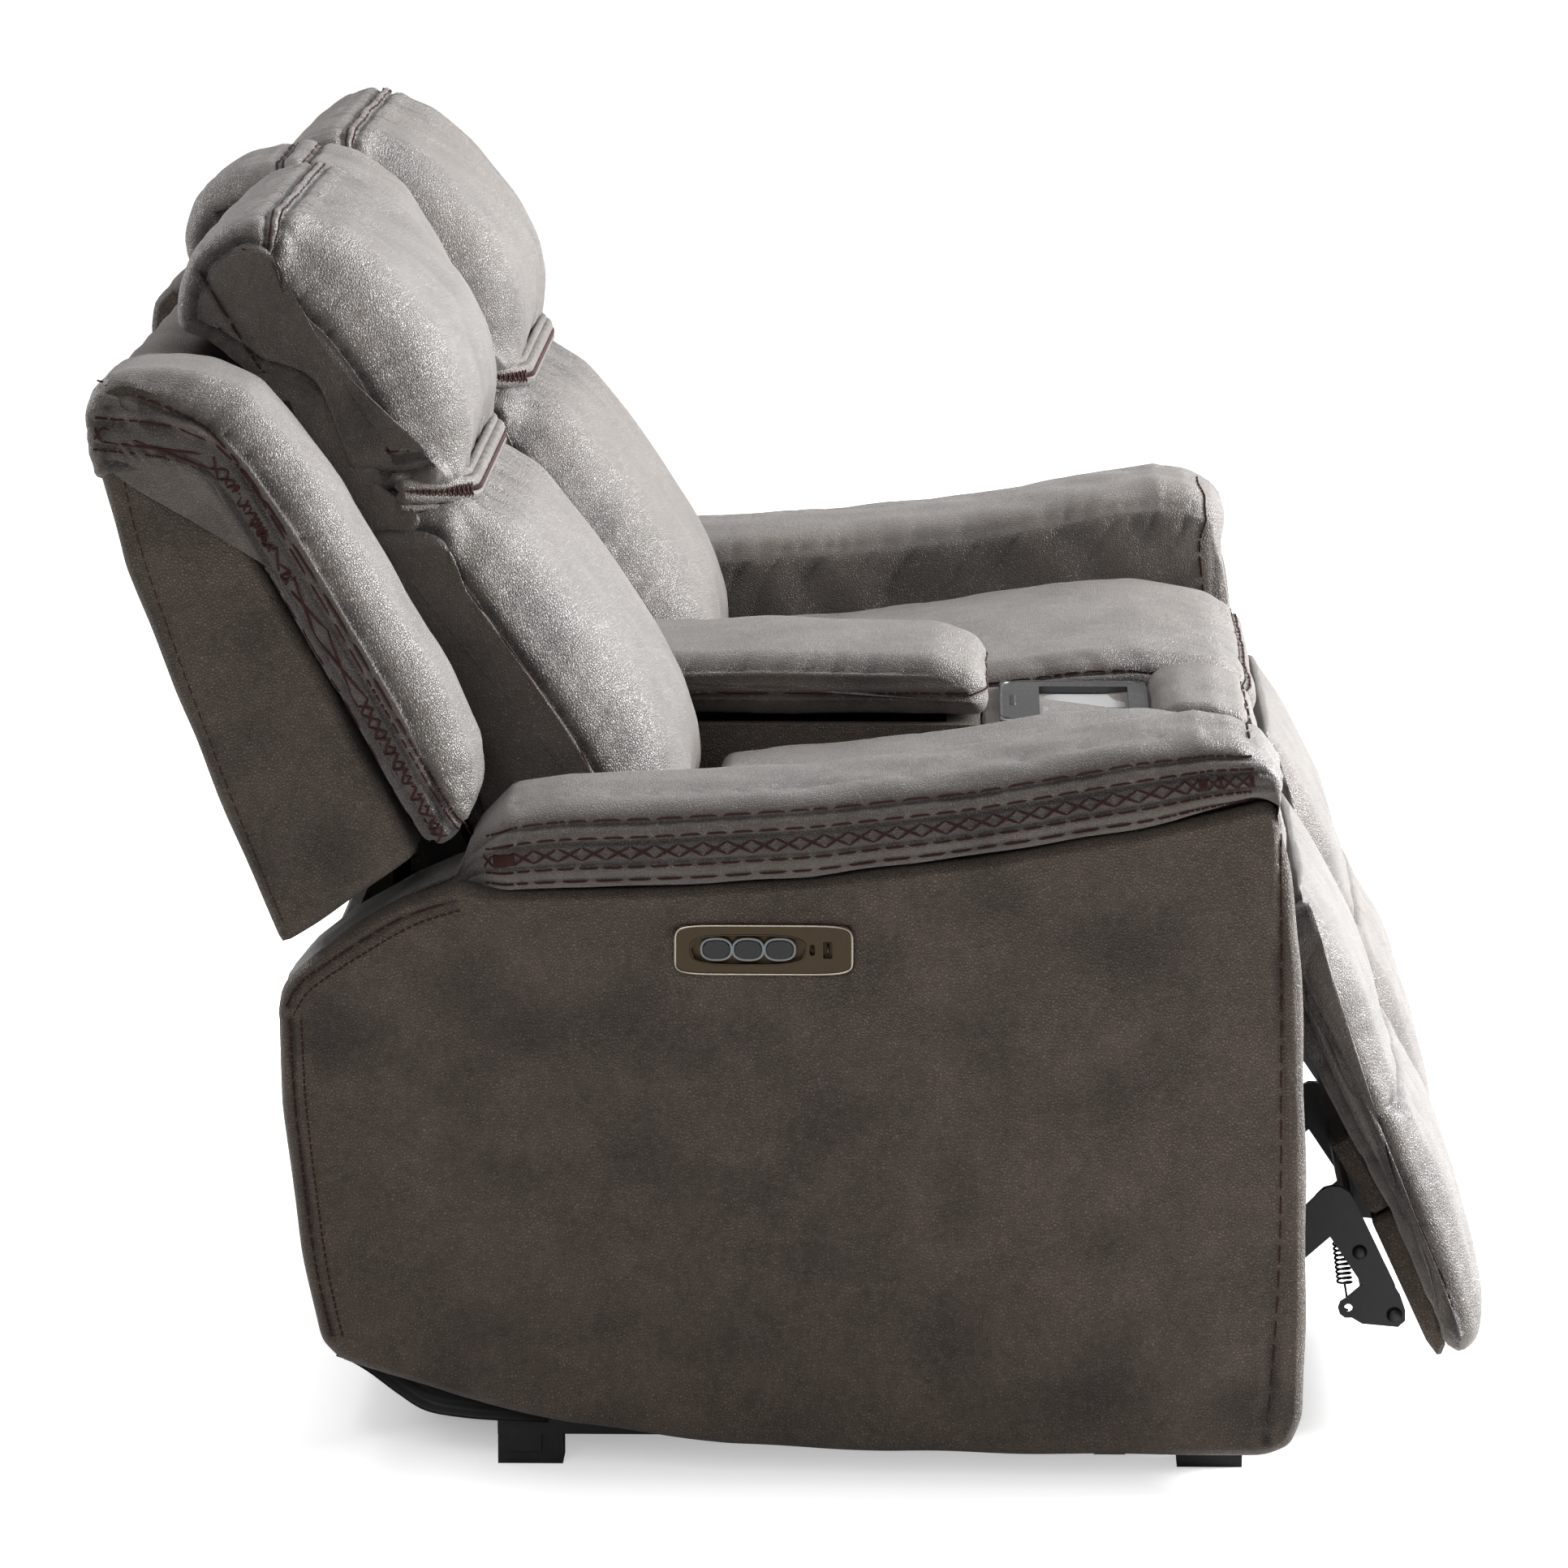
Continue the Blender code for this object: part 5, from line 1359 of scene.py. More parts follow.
@dataclass
class Arm:
    """One arm: cover, side panel, control panel and its sewing."""

    side: Side

    def panel(self, sewing: Sewing) -> bpy.types.Object:
        """The padded outer panel, pressed in behind the control plate.

        Args:
            sewing: the base's thread.

        Returns:
            The piece.
        """
        high = self.side is Side.LEFT
        front = [(0.026, 0.585), (0.024, 0.400), (0.024, 0.200), (0.034, 0.045)]
        rear = [(0.890, 0.420), (0.886, 0.340), (0.871, 0.210), (0.856, 0.135)]
        slope = [(0.893, 0.430), (0.878, 0.453), (0.832, 0.485), (0.787, 0.511), (0.745, 0.525)]
        inner_rear = [(y - 0.010, z - 0.001) for y, z in rear]
        inner_slope = [(y - 0.006, z - 0.008) for y, z in slope]

        def relief(pad: Pad) -> Array:
            """Seam grooves, and a pocket behind the control plate."""
            total = sum(cap_seam(pad, line, 0.0026, 0.0030, high) for line in (front, slope, rear))
            y, z = pad.points[..., 1], pad.points[..., 2]
            inside = np.minimum.reduce([y - BEZEL_LOW.y, BEZEL_HIGH.y - y, z - BEZEL_LOW.z, BEZEL_HIGH.z - z])
            outer = np.abs(pad.points[..., 0]) > (PANEL_INNER + PANEL_OUTER) / 2
            pocket = np.clip((inside - 0.0015) / 0.005, 0, 1) * outer
            lip = 0.0008 * np.exp(-((inside + 0.004) / 0.004) ** 2) * outer
            return total + lip - 0.0145 * pocket

        low, high_x = span(self.side, PANEL_INNER, PANEL_OUTER - 0.0005)
        pad = Pad(f"{self.side.prefix}_outer_panel", "base", (f"{self.side.prefix}_side_panel",), PANEL, low, high_x,
                  edge=0.008, reach=1.1, soften=0.006, dome=0.001, step=0.0048, cap=0.24, seam_depth=0.0, fill=0.9,
                  pressure=0.4, swelling=0.002, seed=31 + self.side.value, finish=PANEL_HIDE, extra=relief)
        obj = pad.build()
        for line in (front, rear, slope, inner_rear, inner_slope):
            sewing.row(*pad.lay(dashes(line), high), pitch=0.0065, radius=0.0008)
        return obj

    def controls(self) -> None:
        """The metal plate, the rings round its buttons and the tongues of its two sockets."""
        prefix, sign = self.side.prefix, self.side.value
        dress(f"{prefix}_control_bezel", BRONZE)
        face = sign * abs(BEZEL_HIGH.x)
        middle = (BEZEL_LOW.y + BEZEL_HIGH.y) / 2
        height = (BEZEL_LOW.z + BEZEL_HIGH.z) / 2
        angle = np.linspace(0, 2 * math.pi, 96, endpoint=False)

        def rounded(centre: float, length: float, tall: float, power: float) -> Array:
            """A superellipse loop on the plate's face."""
            y, z = squared(angle, length, tall, power)
            return np.stack([np.full(96, face), centre + y, height + z], axis=1)

        rim = bar(f"{prefix}_plate_rim", rounded(middle, 0.1545, 0.0430, 7), 0.0012, 8, closed=True, up=(1, 0, 0))
        RIM.on(rim, "bronze_bezel", "base")
        tray = bar(f"{prefix}_tray_rim", rounded(middle + 0.0136, 0.1010, 0.0262, 3.4), 0.0008, 8, closed=True,
                   up=(1, 0, 0))
        BRONZE.on(tray, "bronze_bezel", "base")
        for number in (1, 2, 3):
            name = f"{prefix}_button_{number}"
            dress(name, BUTTON)
            low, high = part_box(name)
            centre = (low.y + high.y) / 2
            top = (low.x if sign < 0 else high.x)
            loop = rounded(centre, 0.0262, 0.0186, 2.5)
            loop[:, 0] = top - sign * 0.0022
            ring = bar(f"{prefix}_ring_{number}", loop, 0.0013, 8, closed=True, up=(1, 0, 0))
            RING.on(ring, "silver_plastic", name)
        for centre, length, tall in ((BEZEL_LOW.y + 0.0215, 0.0025, 0.0095), (BEZEL_LOW.y + 0.0350, 0.0012, 0.0062)):
            path = np.array([[face - sign * 0.009, centre, height], [face - sign * 0.004, centre, height],
                             [face - sign * 0.0022, centre, height]])
            tongue = bar(f"{prefix}_tongue_{int(tall * 1e4)}", path, tall / 2, 12, flat=length / tall, up=(0, 1, 0))
            BLACK_PLASTIC.on(tongue, "button_plastic", "base")

    def build(self, sewing: Sewing) -> None:
        """Makes everything of the arm."""
        ArmCover(self.side).build(sewing)
        self.panel(sewing)
        self.controls()
        dress(f"{self.side.prefix}_arm_frame", PLYWOOD)


def squared(angle: Array, length: float, tall: float, power: float) -> tuple[Array, Array]:
    """A superellipse, a loop on which |u| and |v| to a power sum to one.

    Args:
        angle: the loop's angles.
        length: its size along u.
        tall: its size along v.
        power: 2 for an ellipse, more for squarer corners.

    Returns:
        The loop's u and v about its middle.
    """
    cosine, sine = np.cos(angle), np.sin(angle)
    return (length / 2 * (np.sign(cosine) * np.abs(cosine) ** (2 / power)),
            tall / 2 * (np.sign(sine) * np.abs(sine) ** (2 / power)))


def dress(node: str, finish: Finish) -> None:
    """Puts a finish on a solid that is kept."""
    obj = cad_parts[node]
    obj = bpy.data.objects[obj] if isinstance(obj, str) else obj
    for slot in obj.material_slots:
        slot.material = finish.material()
    if not obj.material_slots:
        obj.data.materials.append(finish.material())
    LOG.info("%s: dressed in %s", node, finish.name)


# ---- seats


HEAD_FRONT = [(0.7525, 0.852), (0.748, 0.903), (0.757, 0.945), (0.779, 0.990), (0.822, 1.045), (0.865, 1.084)]
HEAD_TOP = [(0.912, 1.102), (0.955, 1.096), (0.990, 1.071), (1.006, 1.032), (1.007, 0.994)]
HEAD_REAR = [(0.985, 0.990), (0.940, 0.957), (0.895, 0.944), (0.862, 0.852)]
HEAD_GUSSET = [(0.984, 1.050), (0.962, 1.015), (0.938, 0.976), (0.925, 0.955)]
LUMBAR_FRONT = [(0.752, 0.842), (0.742, 0.834), (0.710, 0.815), (0.675, 0.768), (0.638, 0.716), (0.600, 0.660)]
LUMBAR_LOW = [(0.573, 0.613), (0.557, 0.568), (0.553, 0.530), (0.562, 0.500), (0.585, 0.484), (0.700, 0.476)]
LUMBAR_REAR = [(0.721, 0.4800), (0.859, 0.838)]


@dataclass
class Seat:
    """One sitter's soft pieces: seat, lumbar and head cushions, wing, shell and footrest."""

    side: Side

    def name(self, piece: str) -> str:
        """A node's or body's name on this side."""
        return f"{self.side.prefix}_{piece}"

    def range(self) -> tuple[float, float]:
        """The cushions' X range."""
        return span(self.side, SEAT_INNER, SEAT_OUTER)

    def headrest(self, sewing: Sewing) -> None:
        """The head cushion, with a strap across its crown and gathers beside it."""
        low, high = self.range()

        def relief(pad: Pad) -> Array:
            """Gathers run out from the strap, from the side seams and up from the neck."""
            total = pad.gathered((0.917, 1.103), 0.0034, 0.055, 0.017, 41, clear=0.009)
            total += pad.gathered((0.7525, 0.858), 0.0034, 0.040, 0.030, 43)
            total += pad.gathered(None, 0.0038, 0.040, 0.030, 47)
            for end in (True, False):
                total = total + cap_seam(pad, HEAD_GUSSET, 0.0030, 0.0035, end)
            return total

        pad = Pad(self.name("headrest"), self.name("headrest"), (self.name("headrest_cushion"),),
                  HEAD_FRONT + HEAD_TOP + HEAD_REAR, low, high, edge=0.018, draw=0.070,
                  drawn_from=((0.905, 1.101), (0.7525, 0.853)), reach=1.4, seams=((0.910, 1.1018), (0.9245, 1.1020)),
                  held=((0.862, 0.852), (1.000, 0.994)), fill=0.75, pressure=3.5, swelling=0.010, seed=5,
                  seam_depth=0.0048, step=0.0050, extra=relief)
        pad.build()
        for point, offset in zip(pad.seams, (-0.003, 0.003)):
            sewing.row(*pad.across(point, offset), pitch=0.0065)
        for end in (True, False):
            sewing.row(*pad.round_end(end, -0.004, (0.960, 1.092), (0.756, 0.860)), pitch=0.0075, radius=0.0013)
            line, out = pad.lay(dashes(HEAD_GUSSET), end)
            sewing.row(line, out, pitch=0.0075, radius=0.0012)

    def lumbar(self, sewing: Sewing) -> None:
        """The back cushion, and the ridged band at the neck above it."""
        low, high = self.range()

        def relief(pad: Pad) -> Array:
            """Gathers down from the neck band, out from the side seams and up from the foot."""
            return (pad.gathered((0.742, 0.834), 0.0042, 0.055, 0.034, 51)
                    + pad.gathered(None, 0.0040, 0.045, 0.034, 53)
                    + pad.gathered((0.553, 0.530), 0.0028, 0.035, 0.040, 59))

        pad = Pad(self.name("lumbar"), self.name("back"), (self.name("back_cushion"),),
                  LUMBAR_FRONT + LUMBAR_LOW + LUMBAR_REAR, low, high, edge=0.018, draw=0.058,
                  drawn_from=((0.752, 0.842), (0.560, 0.505)), reach=1.5, held=((0.700, 0.476), (0.859, 0.838)),
                  fill=0.75, pressure=3.5, swelling=0.012, seed=7, seam_depth=0.0048, extra=relief)
        pad.build()
        for end in (True, False):
            sewing.row(*pad.round_end(end, -0.004, (0.745, 0.838), (0.560, 0.505)), pitch=0.0075, radius=0.0013)
        self.neck(sewing)

    def neck(self, sewing: Sewing) -> None:
        """Four rounded ridges between back and head cushion that fall back towards the sides, and the gusset behind.

        Args:
            sewing: the back's thread.
        """
        low, high = self.range()
        x = np.linspace(low + 0.004, high - 0.004, 120)
        way = np.minimum(x - low, high - x)
        back = 0.066 * np.clip(1 - way / 0.105, 0, 1) ** 2.2
        parts = []
        for y, z, radius in ((0.7465, 0.8335, 0.0042), (0.7445, 0.8425, 0.0062), (0.7460, 0.8530, 0.0062),
                             (0.7510, 0.8615, 0.0042)):
            path = np.stack([x, FRONT_Y + y + back, z + back * 0.10 + 0.0007 * uneven(x / 0.03, int(z * 1e4))], axis=1)
            parts.append(bar("ridge", path, radius, 12))
        ridges = merged(self.name("neck_band"), parts)
        TAUPE.on(ridges, "taupe_leather", self.name("back"))
        core = Pad(self.name("neck_gusset"), self.name("back"), (),
                   [(0.768, 0.800), (0.762, 0.845), (0.772, 0.885), (0.855, 0.942), (0.915, 0.966), (0.950, 0.955),
                    (0.935, 0.900), (0.870, 0.800)],
                   low + 0.006, high - 0.006, edge=0.012, draw=0.085, drawn_from=((0.800, 0.905), (0.768, 0.800)),
                   reach=1.4, dome=0.001, cap=0.03, seam_depth=0.001, fill=0.9, pressure=0.5, swelling=0.002, seed=8)
        core.build()
        path = np.stack([x, FRONT_Y + 0.7405 + back, 0.8478 + back * 0.10], axis=1)
        out = np.tile([0.0, -1.0, 0.1], (len(x), 1))
        sewing.row(path, out, Stitch.DENSE, pitch=0.0036, width=0.0062, radius=0.0011)
        for part in (path[:14], path[-14:]):
            sewing.row(part - [0.0, 0.0015, 0.0], out[:14], Stitch.CROSS, pitch=0.007, width=0.016, radius=0.0010)

    def seat(self, sewing: Sewing) -> None:
        """The seat cushion: a crowned top over a stitched front band."""
        low, high = self.range()
        front = [(0.100, 0.4345), (0.052, 0.462), (0.006, 0.5205), (0.012, 0.540), (0.045, 0.566)]
        top = [(0.128, 0.579), (0.211, 0.573), (0.320, 0.556), (0.440, 0.541), (0.535, 0.534), (0.538, 0.4325)]

        def relief(pad: Pad) -> Array:
            """Creases run back from the front band and in from the sides."""
            return (pad.gathered((0.014, 0.545), 0.0030, 0.050, 0.038, 61)
                    + pad.gathered(None, 0.0032, 0.040, 0.040, 67))

        pad = Pad(self.name("seat_pad"), self.name("carriage"), (self.name("seat_cushion"),), front + top, low, high,
                  edge=0.020, reach=2.2, seams=((0.014, 0.545),), held=((0.535, 0.534), (0.110, 0.4345)), fill=0.8,
                  pressure=3.0, swelling=0.012, seed=9, extra=relief)
        pad.build()
        for offset in (-0.004, 0.004):
            sewing.row(*pad.across((0.014, 0.545), offset))
        for end in (True, False):
            sewing.row(*pad.round_end(end, 0.004, (0.520, 0.5345), (0.020, 0.502)))

    def wing(self, sewing: Sewing) -> None:
        """The padded wing that wraps the back's side, with its stitched bands."""
        front = [(0.738, 0.586), (0.727, 0.612), (0.731, 0.649), (0.757, 0.706), (0.806, 0.791), (0.855, 0.875)]
        top = [(0.893, 0.930), (0.924, 0.965), (0.964, 0.983), (0.992, 0.987), (1.028, 0.987), (1.050, 0.979),
               (1.062, 0.958), (1.060, 0.925), (1.056, 0.893)]
        seam = [(0.980, 0.897), (0.948, 0.884), (0.769, 0.572), (0.755, 0.572)]
        high_end = self.side is Side.LEFT
        low, high = span(self.side, HALF_WIDTH - 0.215, HALF_WIDTH - 0.0015)
        bands = [[(1.054, 0.900 + 1.9 * step), (0.985, 0.904 + 1.25 * step), (0.948 - 0.3 * step, 0.886 + 0.8 * step),
                  (0.900 - step, 0.802), (0.830 - step, 0.680), (0.773 - step, 0.579)] for step in (0.018, 0.040)]

        def relief(pad: Pad) -> Array:
            """Two stitched bands follow the rear seam; puckers run out over the roll."""
            lines = [*shifted(bands[0], -0.011), *shifted(bands[0], 0.011), bands[1]]
            total = sum(cap_seam(pad, line, 0.0034, 0.0030, high_end) for line in lines)
            return total + pad.gathered(None, 0.0026, 0.035, 0.028, 71)

        def band(pad: Pad) -> Array:
            """The darker strip under the crossed stitches."""
            gap = away_from(pad.points[..., 1:].reshape(-1, 2), dashes(bands[0])).reshape(pad.points.shape[:2])
            outer = (pad.points[..., 0] > (pad.low + pad.high) / 2) == high_end
            return np.where((gap < 0.010) & outer, 0.55, 0.0)

        pad = Pad(self.name("wing_roll"), self.name("back"), (self.name("wing"),), front + top + seam, low, high,
                  edge=0.012, draw=0.034, drawn_from=((1.050, 0.979), (0.738, 0.586)), reach=1.3, soften=0.006,
                  dome=0.003, step=0.0042, cap=0.07, fill=0.85, pressure=1.5, swelling=0.004,
                  held=((0.755, 0.572), (1.056, 0.893)), seed=13, extra=relief, band=band)
        pad.build()
        sewing.row(*pad.lay(dashes(bands[0]), high_end), Stitch.CROSS, pitch=0.0095, width=0.0125, radius=0.0012)
        for line in (*shifted(bands[0], -0.014), *shifted(bands[0], 0.014), bands[1]):
            sewing.row(*pad.lay(dashes(line), high_end), pitch=0.007, radius=0.0011)

    def shell(self, sewing: Sewing) -> None:
        """The leather-covered outer back."""
        front = [(0.777, 0.565)]
        rear = [(0.897, 0.483), (0.962, 0.641), (1.030, 0.818), (1.051, 0.905), (1.058, 0.958), (1.048, 0.976)]
        top = [(1.026, 0.983), (0.992, 0.971), (0.972, 0.930), (0.952, 0.890)]
        low, high = span(self.side, 0.1535, PANEL_OUTER - 0.0005)
        pad = Pad(self.name("outer_shell"), self.name("back"), (self.name("back_shell"),), front + rear + top,
                  low, high, edge=0.006, reach=1.0, soften=0.005, dome=0.001, step=0.0075, cap=0.09, seam_depth=0.0,
                  fill=0.95,
                  pressure=0.5, swelling=0.002, seed=17, finish=PANEL_HIDE)
        pad.build()
        frame_seam = [(1.036, 0.968), (1.020, 0.850), (0.952, 0.650), (0.895, 0.505)]
        for end in (True, False):
            sewing.row(*pad.lay(dashes(frame_seam), end), pitch=0.006, radius=0.0005)

    def footrest(self, sewing: Sewing) -> None:
        """The footrest pad with a crown ahead of its side seams and a sewn dart across it."""
        low, high = self.range()
        top = [(0.024, 0.428), (-0.0005, 0.503)]
        front = [(-0.030, 0.447), (-0.064, 0.378), (-0.088, 0.312), (-0.097, 0.296), (-0.130, 0.225)]
        toe = [(-0.156, 0.153), (-0.170, 0.100), (-0.166, 0.074), (-0.150, 0.062)]
        rear = [(-0.1405, 0.067), (-0.130, 0.102), (-0.089, 0.194), (-0.049, 0.267), (-0.011, 0.345)]
        back = [(-0.012, 0.398), (-0.034, 0.352), (-0.066, 0.288), (-0.105, 0.205), (-0.138, 0.125), (-0.150, 0.078)]

        def relief(pad: Pad) -> Array:
            """Wrinkles beside the dart, and pinches at the side seam."""
            total = pad.gathered((-0.0965, 0.298), 0.0036, 0.030, 0.034, 73)
            total += pad.gathered(None, 0.0048, 0.034, 0.045, 79)
            for end in (True, False):
                total = total + cap_seam(pad, back, 0.0045, 0.0045, end)
            return total

        pad = Pad(self.name("footrest_roll"), self.name("footrest"), (self.name("footrest_pad"),),
                  top + front + toe + rear, low, high, edge=0.010, draw=0.036,
                  drawn_from=((-0.0005, 0.503), (-0.150, 0.064)), reach=1.5,
                  soften=0.007, dome=0.004, cap=0.05, seams=((-0.0965, 0.298),), seam_depth=0.005, seam_width=0.006,
                  held=((-0.1405, 0.067), (-0.011, 0.345)), fill=0.7, pressure=3.0, swelling=0.009,
                  seed=19, extra=relief)
        pad.build()
        for end in (True, False):
            sewing.row(*pad.lay(dashes(back), end), pitch=0.0065, radius=0.0009)

    def build(self, threads: dict[str, Sewing]) -> None:
        """Makes every soft piece of the seat.

        Args:
            threads: body to its thread.
        """
        self.headrest(threads[self.name("headrest")])
        self.lumbar(threads[self.name("back")])
        self.wing(threads[self.name("back")])
        self.shell(threads[self.name("back")])
        self.seat(threads[self.name("carriage")])
        self.footrest(threads[self.name("footrest")])


@dataclass
class Mechanism:
    """The steel under one seat: finishes for the kept solids, bolt heads and the coil spring."""

    side: Side
    wire: float = 0.0011
    coil: float = 0.0066
    turns: int = 9

    def spring(self) -> None:
        """A helix between two hooks: x = r cos a, off-axis = r sin a, the rise even with the angle."""
        prefix = self.side.prefix
        low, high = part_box(f"{prefix}_ottoman_spring")
        middle = (low.x + high.x) / 2
        top, bottom = np.array([-0.043, 0.157]), np.array([-0.0475, 0.118])
        hook = np.array([-0.0505, 0.0995])
        along = (bottom - top) / np.linalg.norm(bottom - top)
        across = np.array([-along[1], along[0]])
        angle = np.linspace(0, 2 * math.pi * self.turns, self.turns * 16)
        share = angle / angle[-1]
        centre = top + np.outer(share, bottom - top)
        flat = centre + self.coil * np.sin(angle)[:, None] * across
        helix = np.column_stack([middle + self.coil * np.cos(angle), flat])
        lead = np.array([[middle, *(bottom + (hook - bottom) * part)] for part in (0.15, 0.4, 0.7)])
        bend = np.linspace(-0.5 * math.pi, math.pi, 10)
        eye = np.column_stack([np.full(10, middle), hook[0] + 0.0045 * np.cos(bend),
                               hook[1] - 0.0015 + 0.0045 * np.sin(bend)])
        path = np.vstack([helix, lead, eye[::-1]])
        path[:, 1] += FRONT_Y
        obj = bar(f"{prefix}_coil_spring", path, self.wire, 7, up=(1, 0, 0))
        SPRING_WIRE.on(obj, "spring_steel", f"{prefix}_footrest")
        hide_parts(f"{prefix}_ottoman_spring")

    def bolts(self) -> None:
        """Domed bolt heads and rivets on the links, each turned about X."""
        prefix, sign = self.side.prefix, self.side.value
        spots = (("ottoman_link", 0.6905, (-0.036, 0.1955), 0.0085), ("footrest", 0.685, (-0.0815, 0.116), 0.0062),
                 ("footrest", 0.685, (-0.0925, 0.0925), 0.0058), ("ottoman_link", 0.6905, (-0.0600, 0.1520), 0.0055),
                 ("swing_link", 0.696, (0.103, 0.064), 0.0075), ("lift_link", 0.7015, (0.150, 0.372), 0.0090))
        for index, (body, layer, (y, z), radius) in enumerate(spots):
            for face, way in ((layer, 1.0), (0.9 - layer, -1.0)):
                profile = [(-0.001, 0.0), (-0.001, radius * 1.25), (0.0006, radius * 1.25), (0.0008, radius),
                           (0.0020, radius * 0.96), (0.0030, radius * 0.75), (0.0034, 0.0)]
                name = f"{prefix}_bolt_{index}_{'outer' if way > 0 else 'inner'}"
                if body == "footrest" and way < 0:
                    continue
                head = turned(name, np.array([sign * face, FRONT_Y + y, z]), np.array([sign * way, 0, 0]), profile, 24)
                BLACK_STEEL.on(head, "black_steel", f"{prefix}_{body}")

    def build(self) -> None:
        """Dresses the kept steel and makes the small parts."""
        for piece in ("mechanism_frame", "lift_linkage", "swing_linkage", "ottoman_linkage", "ottoman_bracket",
                      "actuator_body"):
            dress(f"{self.side.prefix}_{piece}", BLACK_STEEL)
        dress(f"{self.side.prefix}_actuator_rod", BRIGHT_STEEL)
        dress(f"{self.side.prefix}_seat_frame", LINING)
        dress(f"{self.side.prefix}_back_frame", LINING)
        for piece in ("mid_board", "ottoman_board"):
            dress(f"{self.side.prefix}_{piece}", PANEL_HIDE)
        self.spring()
        self.bolts()


# ---- console


@dataclass
class Console:
    """The middle: body, front roll with its charging tray, lid, back cushion and shell."""

    half: float = 0.149

    def front_roll(self, sewing: Sewing) -> None:
        """The padded front with the tray's bed behind it."""
        roll = [(0.122, 0.5475), (0.114, 0.563), (0.092, 0.573), (0.060, 0.573), (0.030, 0.560), (0.014, 0.530),
                (0.014, 0.482), (0.030, 0.480)]
        rear = [(0.080, 0.5005), (0.2860, 0.5005), (0.2865, 0.5475)]
        pad = Pad("console_front_roll", "base", ("console_top_pad",), (roll + rear)[::-1], -self.half, self.half,
                  edge=0.012, reach=1.5, soften=0.005, dome=0.001, cap=0.03, seams=((0.120, 0.5490), (0.024, 0.552)),
                  seam_depth=0.0025, held=((0.030, 0.480), (0.115, 0.562)), fill=0.8, pressure=1.5, swelling=0.004,
                  seed=83, step=0.0055)
        pad.build()
        for offset in (-0.003, 0.003):
            sewing.row(*pad.across((0.024, 0.552), offset))

    def tray(self) -> None:
        """The tray's finish, the mat in its recess, its rim and the notch behind it."""
        dress("charging_tray", TRAY_METAL)
        low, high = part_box("charging_tray")
        middle = (low.y + high.y) / 2 - 0.010
        bed = high.z - 0.0078
        angle = np.linspace(0, 2 * math.pi, 120, endpoint=False)
        across, along = squared(angle, 0.176, 0.084, 6)
        loop = np.stack([across, middle + along, np.full(120, bed)], axis=1)
        centre = np.array([0.0, middle, bed])
        layers = np.array([centre + (loop - centre) * part + [0, 0, rise] for part, rise in
                           ((0.2, 0.0008), (0.6, 0.0008), (0.97, 0.0008), (1.0, 0.0), (0.97, -0.0008), (0.4, -0.0008))])
        mat = closed_form("charging_mat", layers, centre + [0, 0, 0.0008], centre - [0, 0, 0.0008])
        CHARGER.on(mat, "silver_plastic", "base")
        across, along = squared(angle, 2 * (high.x - 0.0015), high.y - low.y - 0.003, 9)
        rim_loop = np.stack([across, (low.y + high.y) / 2 + along, np.full(120, high.z - 0.0006)], axis=1)
        rim = bar("tray_rim", rim_loop, 0.0014, 8, closed=True)
        TRAY_METAL.on(rim, "silver_plastic", "base")
        slot_path = np.array([[x, high.y - 0.013, high.z - 0.0001] for x in np.linspace(-0.030, 0.030, 9)])
        slot = bar("tray_notch", slot_path, 0.0030, 10, flat=0.25)
        BLACK_PLASTIC.on(slot, "button_plastic", "base")

    def lid(self, sewing: Sewing) -> None:
        """The padded lid with a stitched seam round its edge."""
        shape = [(0.281, 0.558), (0.698, 0.558), (0.698, 0.6140), (0.500, 0.6190), (0.330, 0.6160), (0.292, 0.602),
                 (0.281, 0.587)]

        def relief(pad: Pad) -> Array:
            """A groove at the seam's height, and small gathers above it."""
            z = pad.points[..., 2]
            near = np.abs(z - 0.579)
            groove = valley(near, 0.0024, 0.0026) * (np.abs(pad.normals[..., 2]) < 0.8)
            return groove + pad.gathered(None, 0.0020, 0.03, 0.03, 87)

        pad = Pad("console_lid_pad", "console_lid", ("console_lid",), shape, -0.1425, 0.1425, edge=0.016, reach=1.6,
                  soften=0.008, dome=0.001, cap=0.05, seam_depth=0.001, fill=0.85, pressure=1.6, swelling=0.004,
                  held=((0.281, 0.560), (0.698, 0.560)), seed=89, extra=relief, step=0.0055)
        pad.build()
        for end in (True, False):
            sewing.row(*pad.lay(dashes([(0.300, 0.582), (0.400, 0.582), (0.500, 0.582), (0.690, 0.582)]), end))
        line, out = pad.across((0.282, 0.583))
        sewing.row(line, out)

    def back(self, sewing: Sewing) -> None:
        """The middle back cushion, with the same strap as the head cushions."""
        front = [(0.768, 0.562), (0.765, 0.640), (0.776, 0.760), (0.790, 0.860), (0.803, 0.948), (0.827, 1.004),
                 (0.855, 1.050)]
        top = [(0.906, 1.088), (0.952, 1.098), (1.009, 1.086), (1.044, 1.061), (1.057, 1.020), (1.051, 0.990)]
        rear = [(1.004, 0.983), (0.990, 0.966), (0.842, 0.562)]

        def relief(pad: Pad) -> Array:
            """Gathers beside the strap and along the side seams."""
            return (pad.gathered((0.952, 1.099), 0.0030, 0.035, 0.024, 91, clear=0.016)
                    + pad.gathered(None, 0.0034, 0.035, 0.030, 93))

        pad = Pad("middle_back_pad", "base", ("console_back_cushion",), front + top + rear, -0.147, 0.147, edge=0.018,
                  draw=0.035, drawn_from=((1.044, 1.061), (0.768, 0.565)), reach=1.5,
                  seams=((0.938, 1.0965), (0.966, 1.0975)), held=((0.842, 0.562), (1.004, 0.983)), fill=0.75,
                  pressure=3.0, swelling=0.008, seed=95, extra=relief)
        pad.build()
        for point in pad.seams:
            for offset in (-0.003, 0.003):
                sewing.row(*pad.across(point, offset))
        for end in (True, False):
            sewing.row(*pad.round_end(end, 0.004, (1.044, 1.061), (0.768, 0.600)))

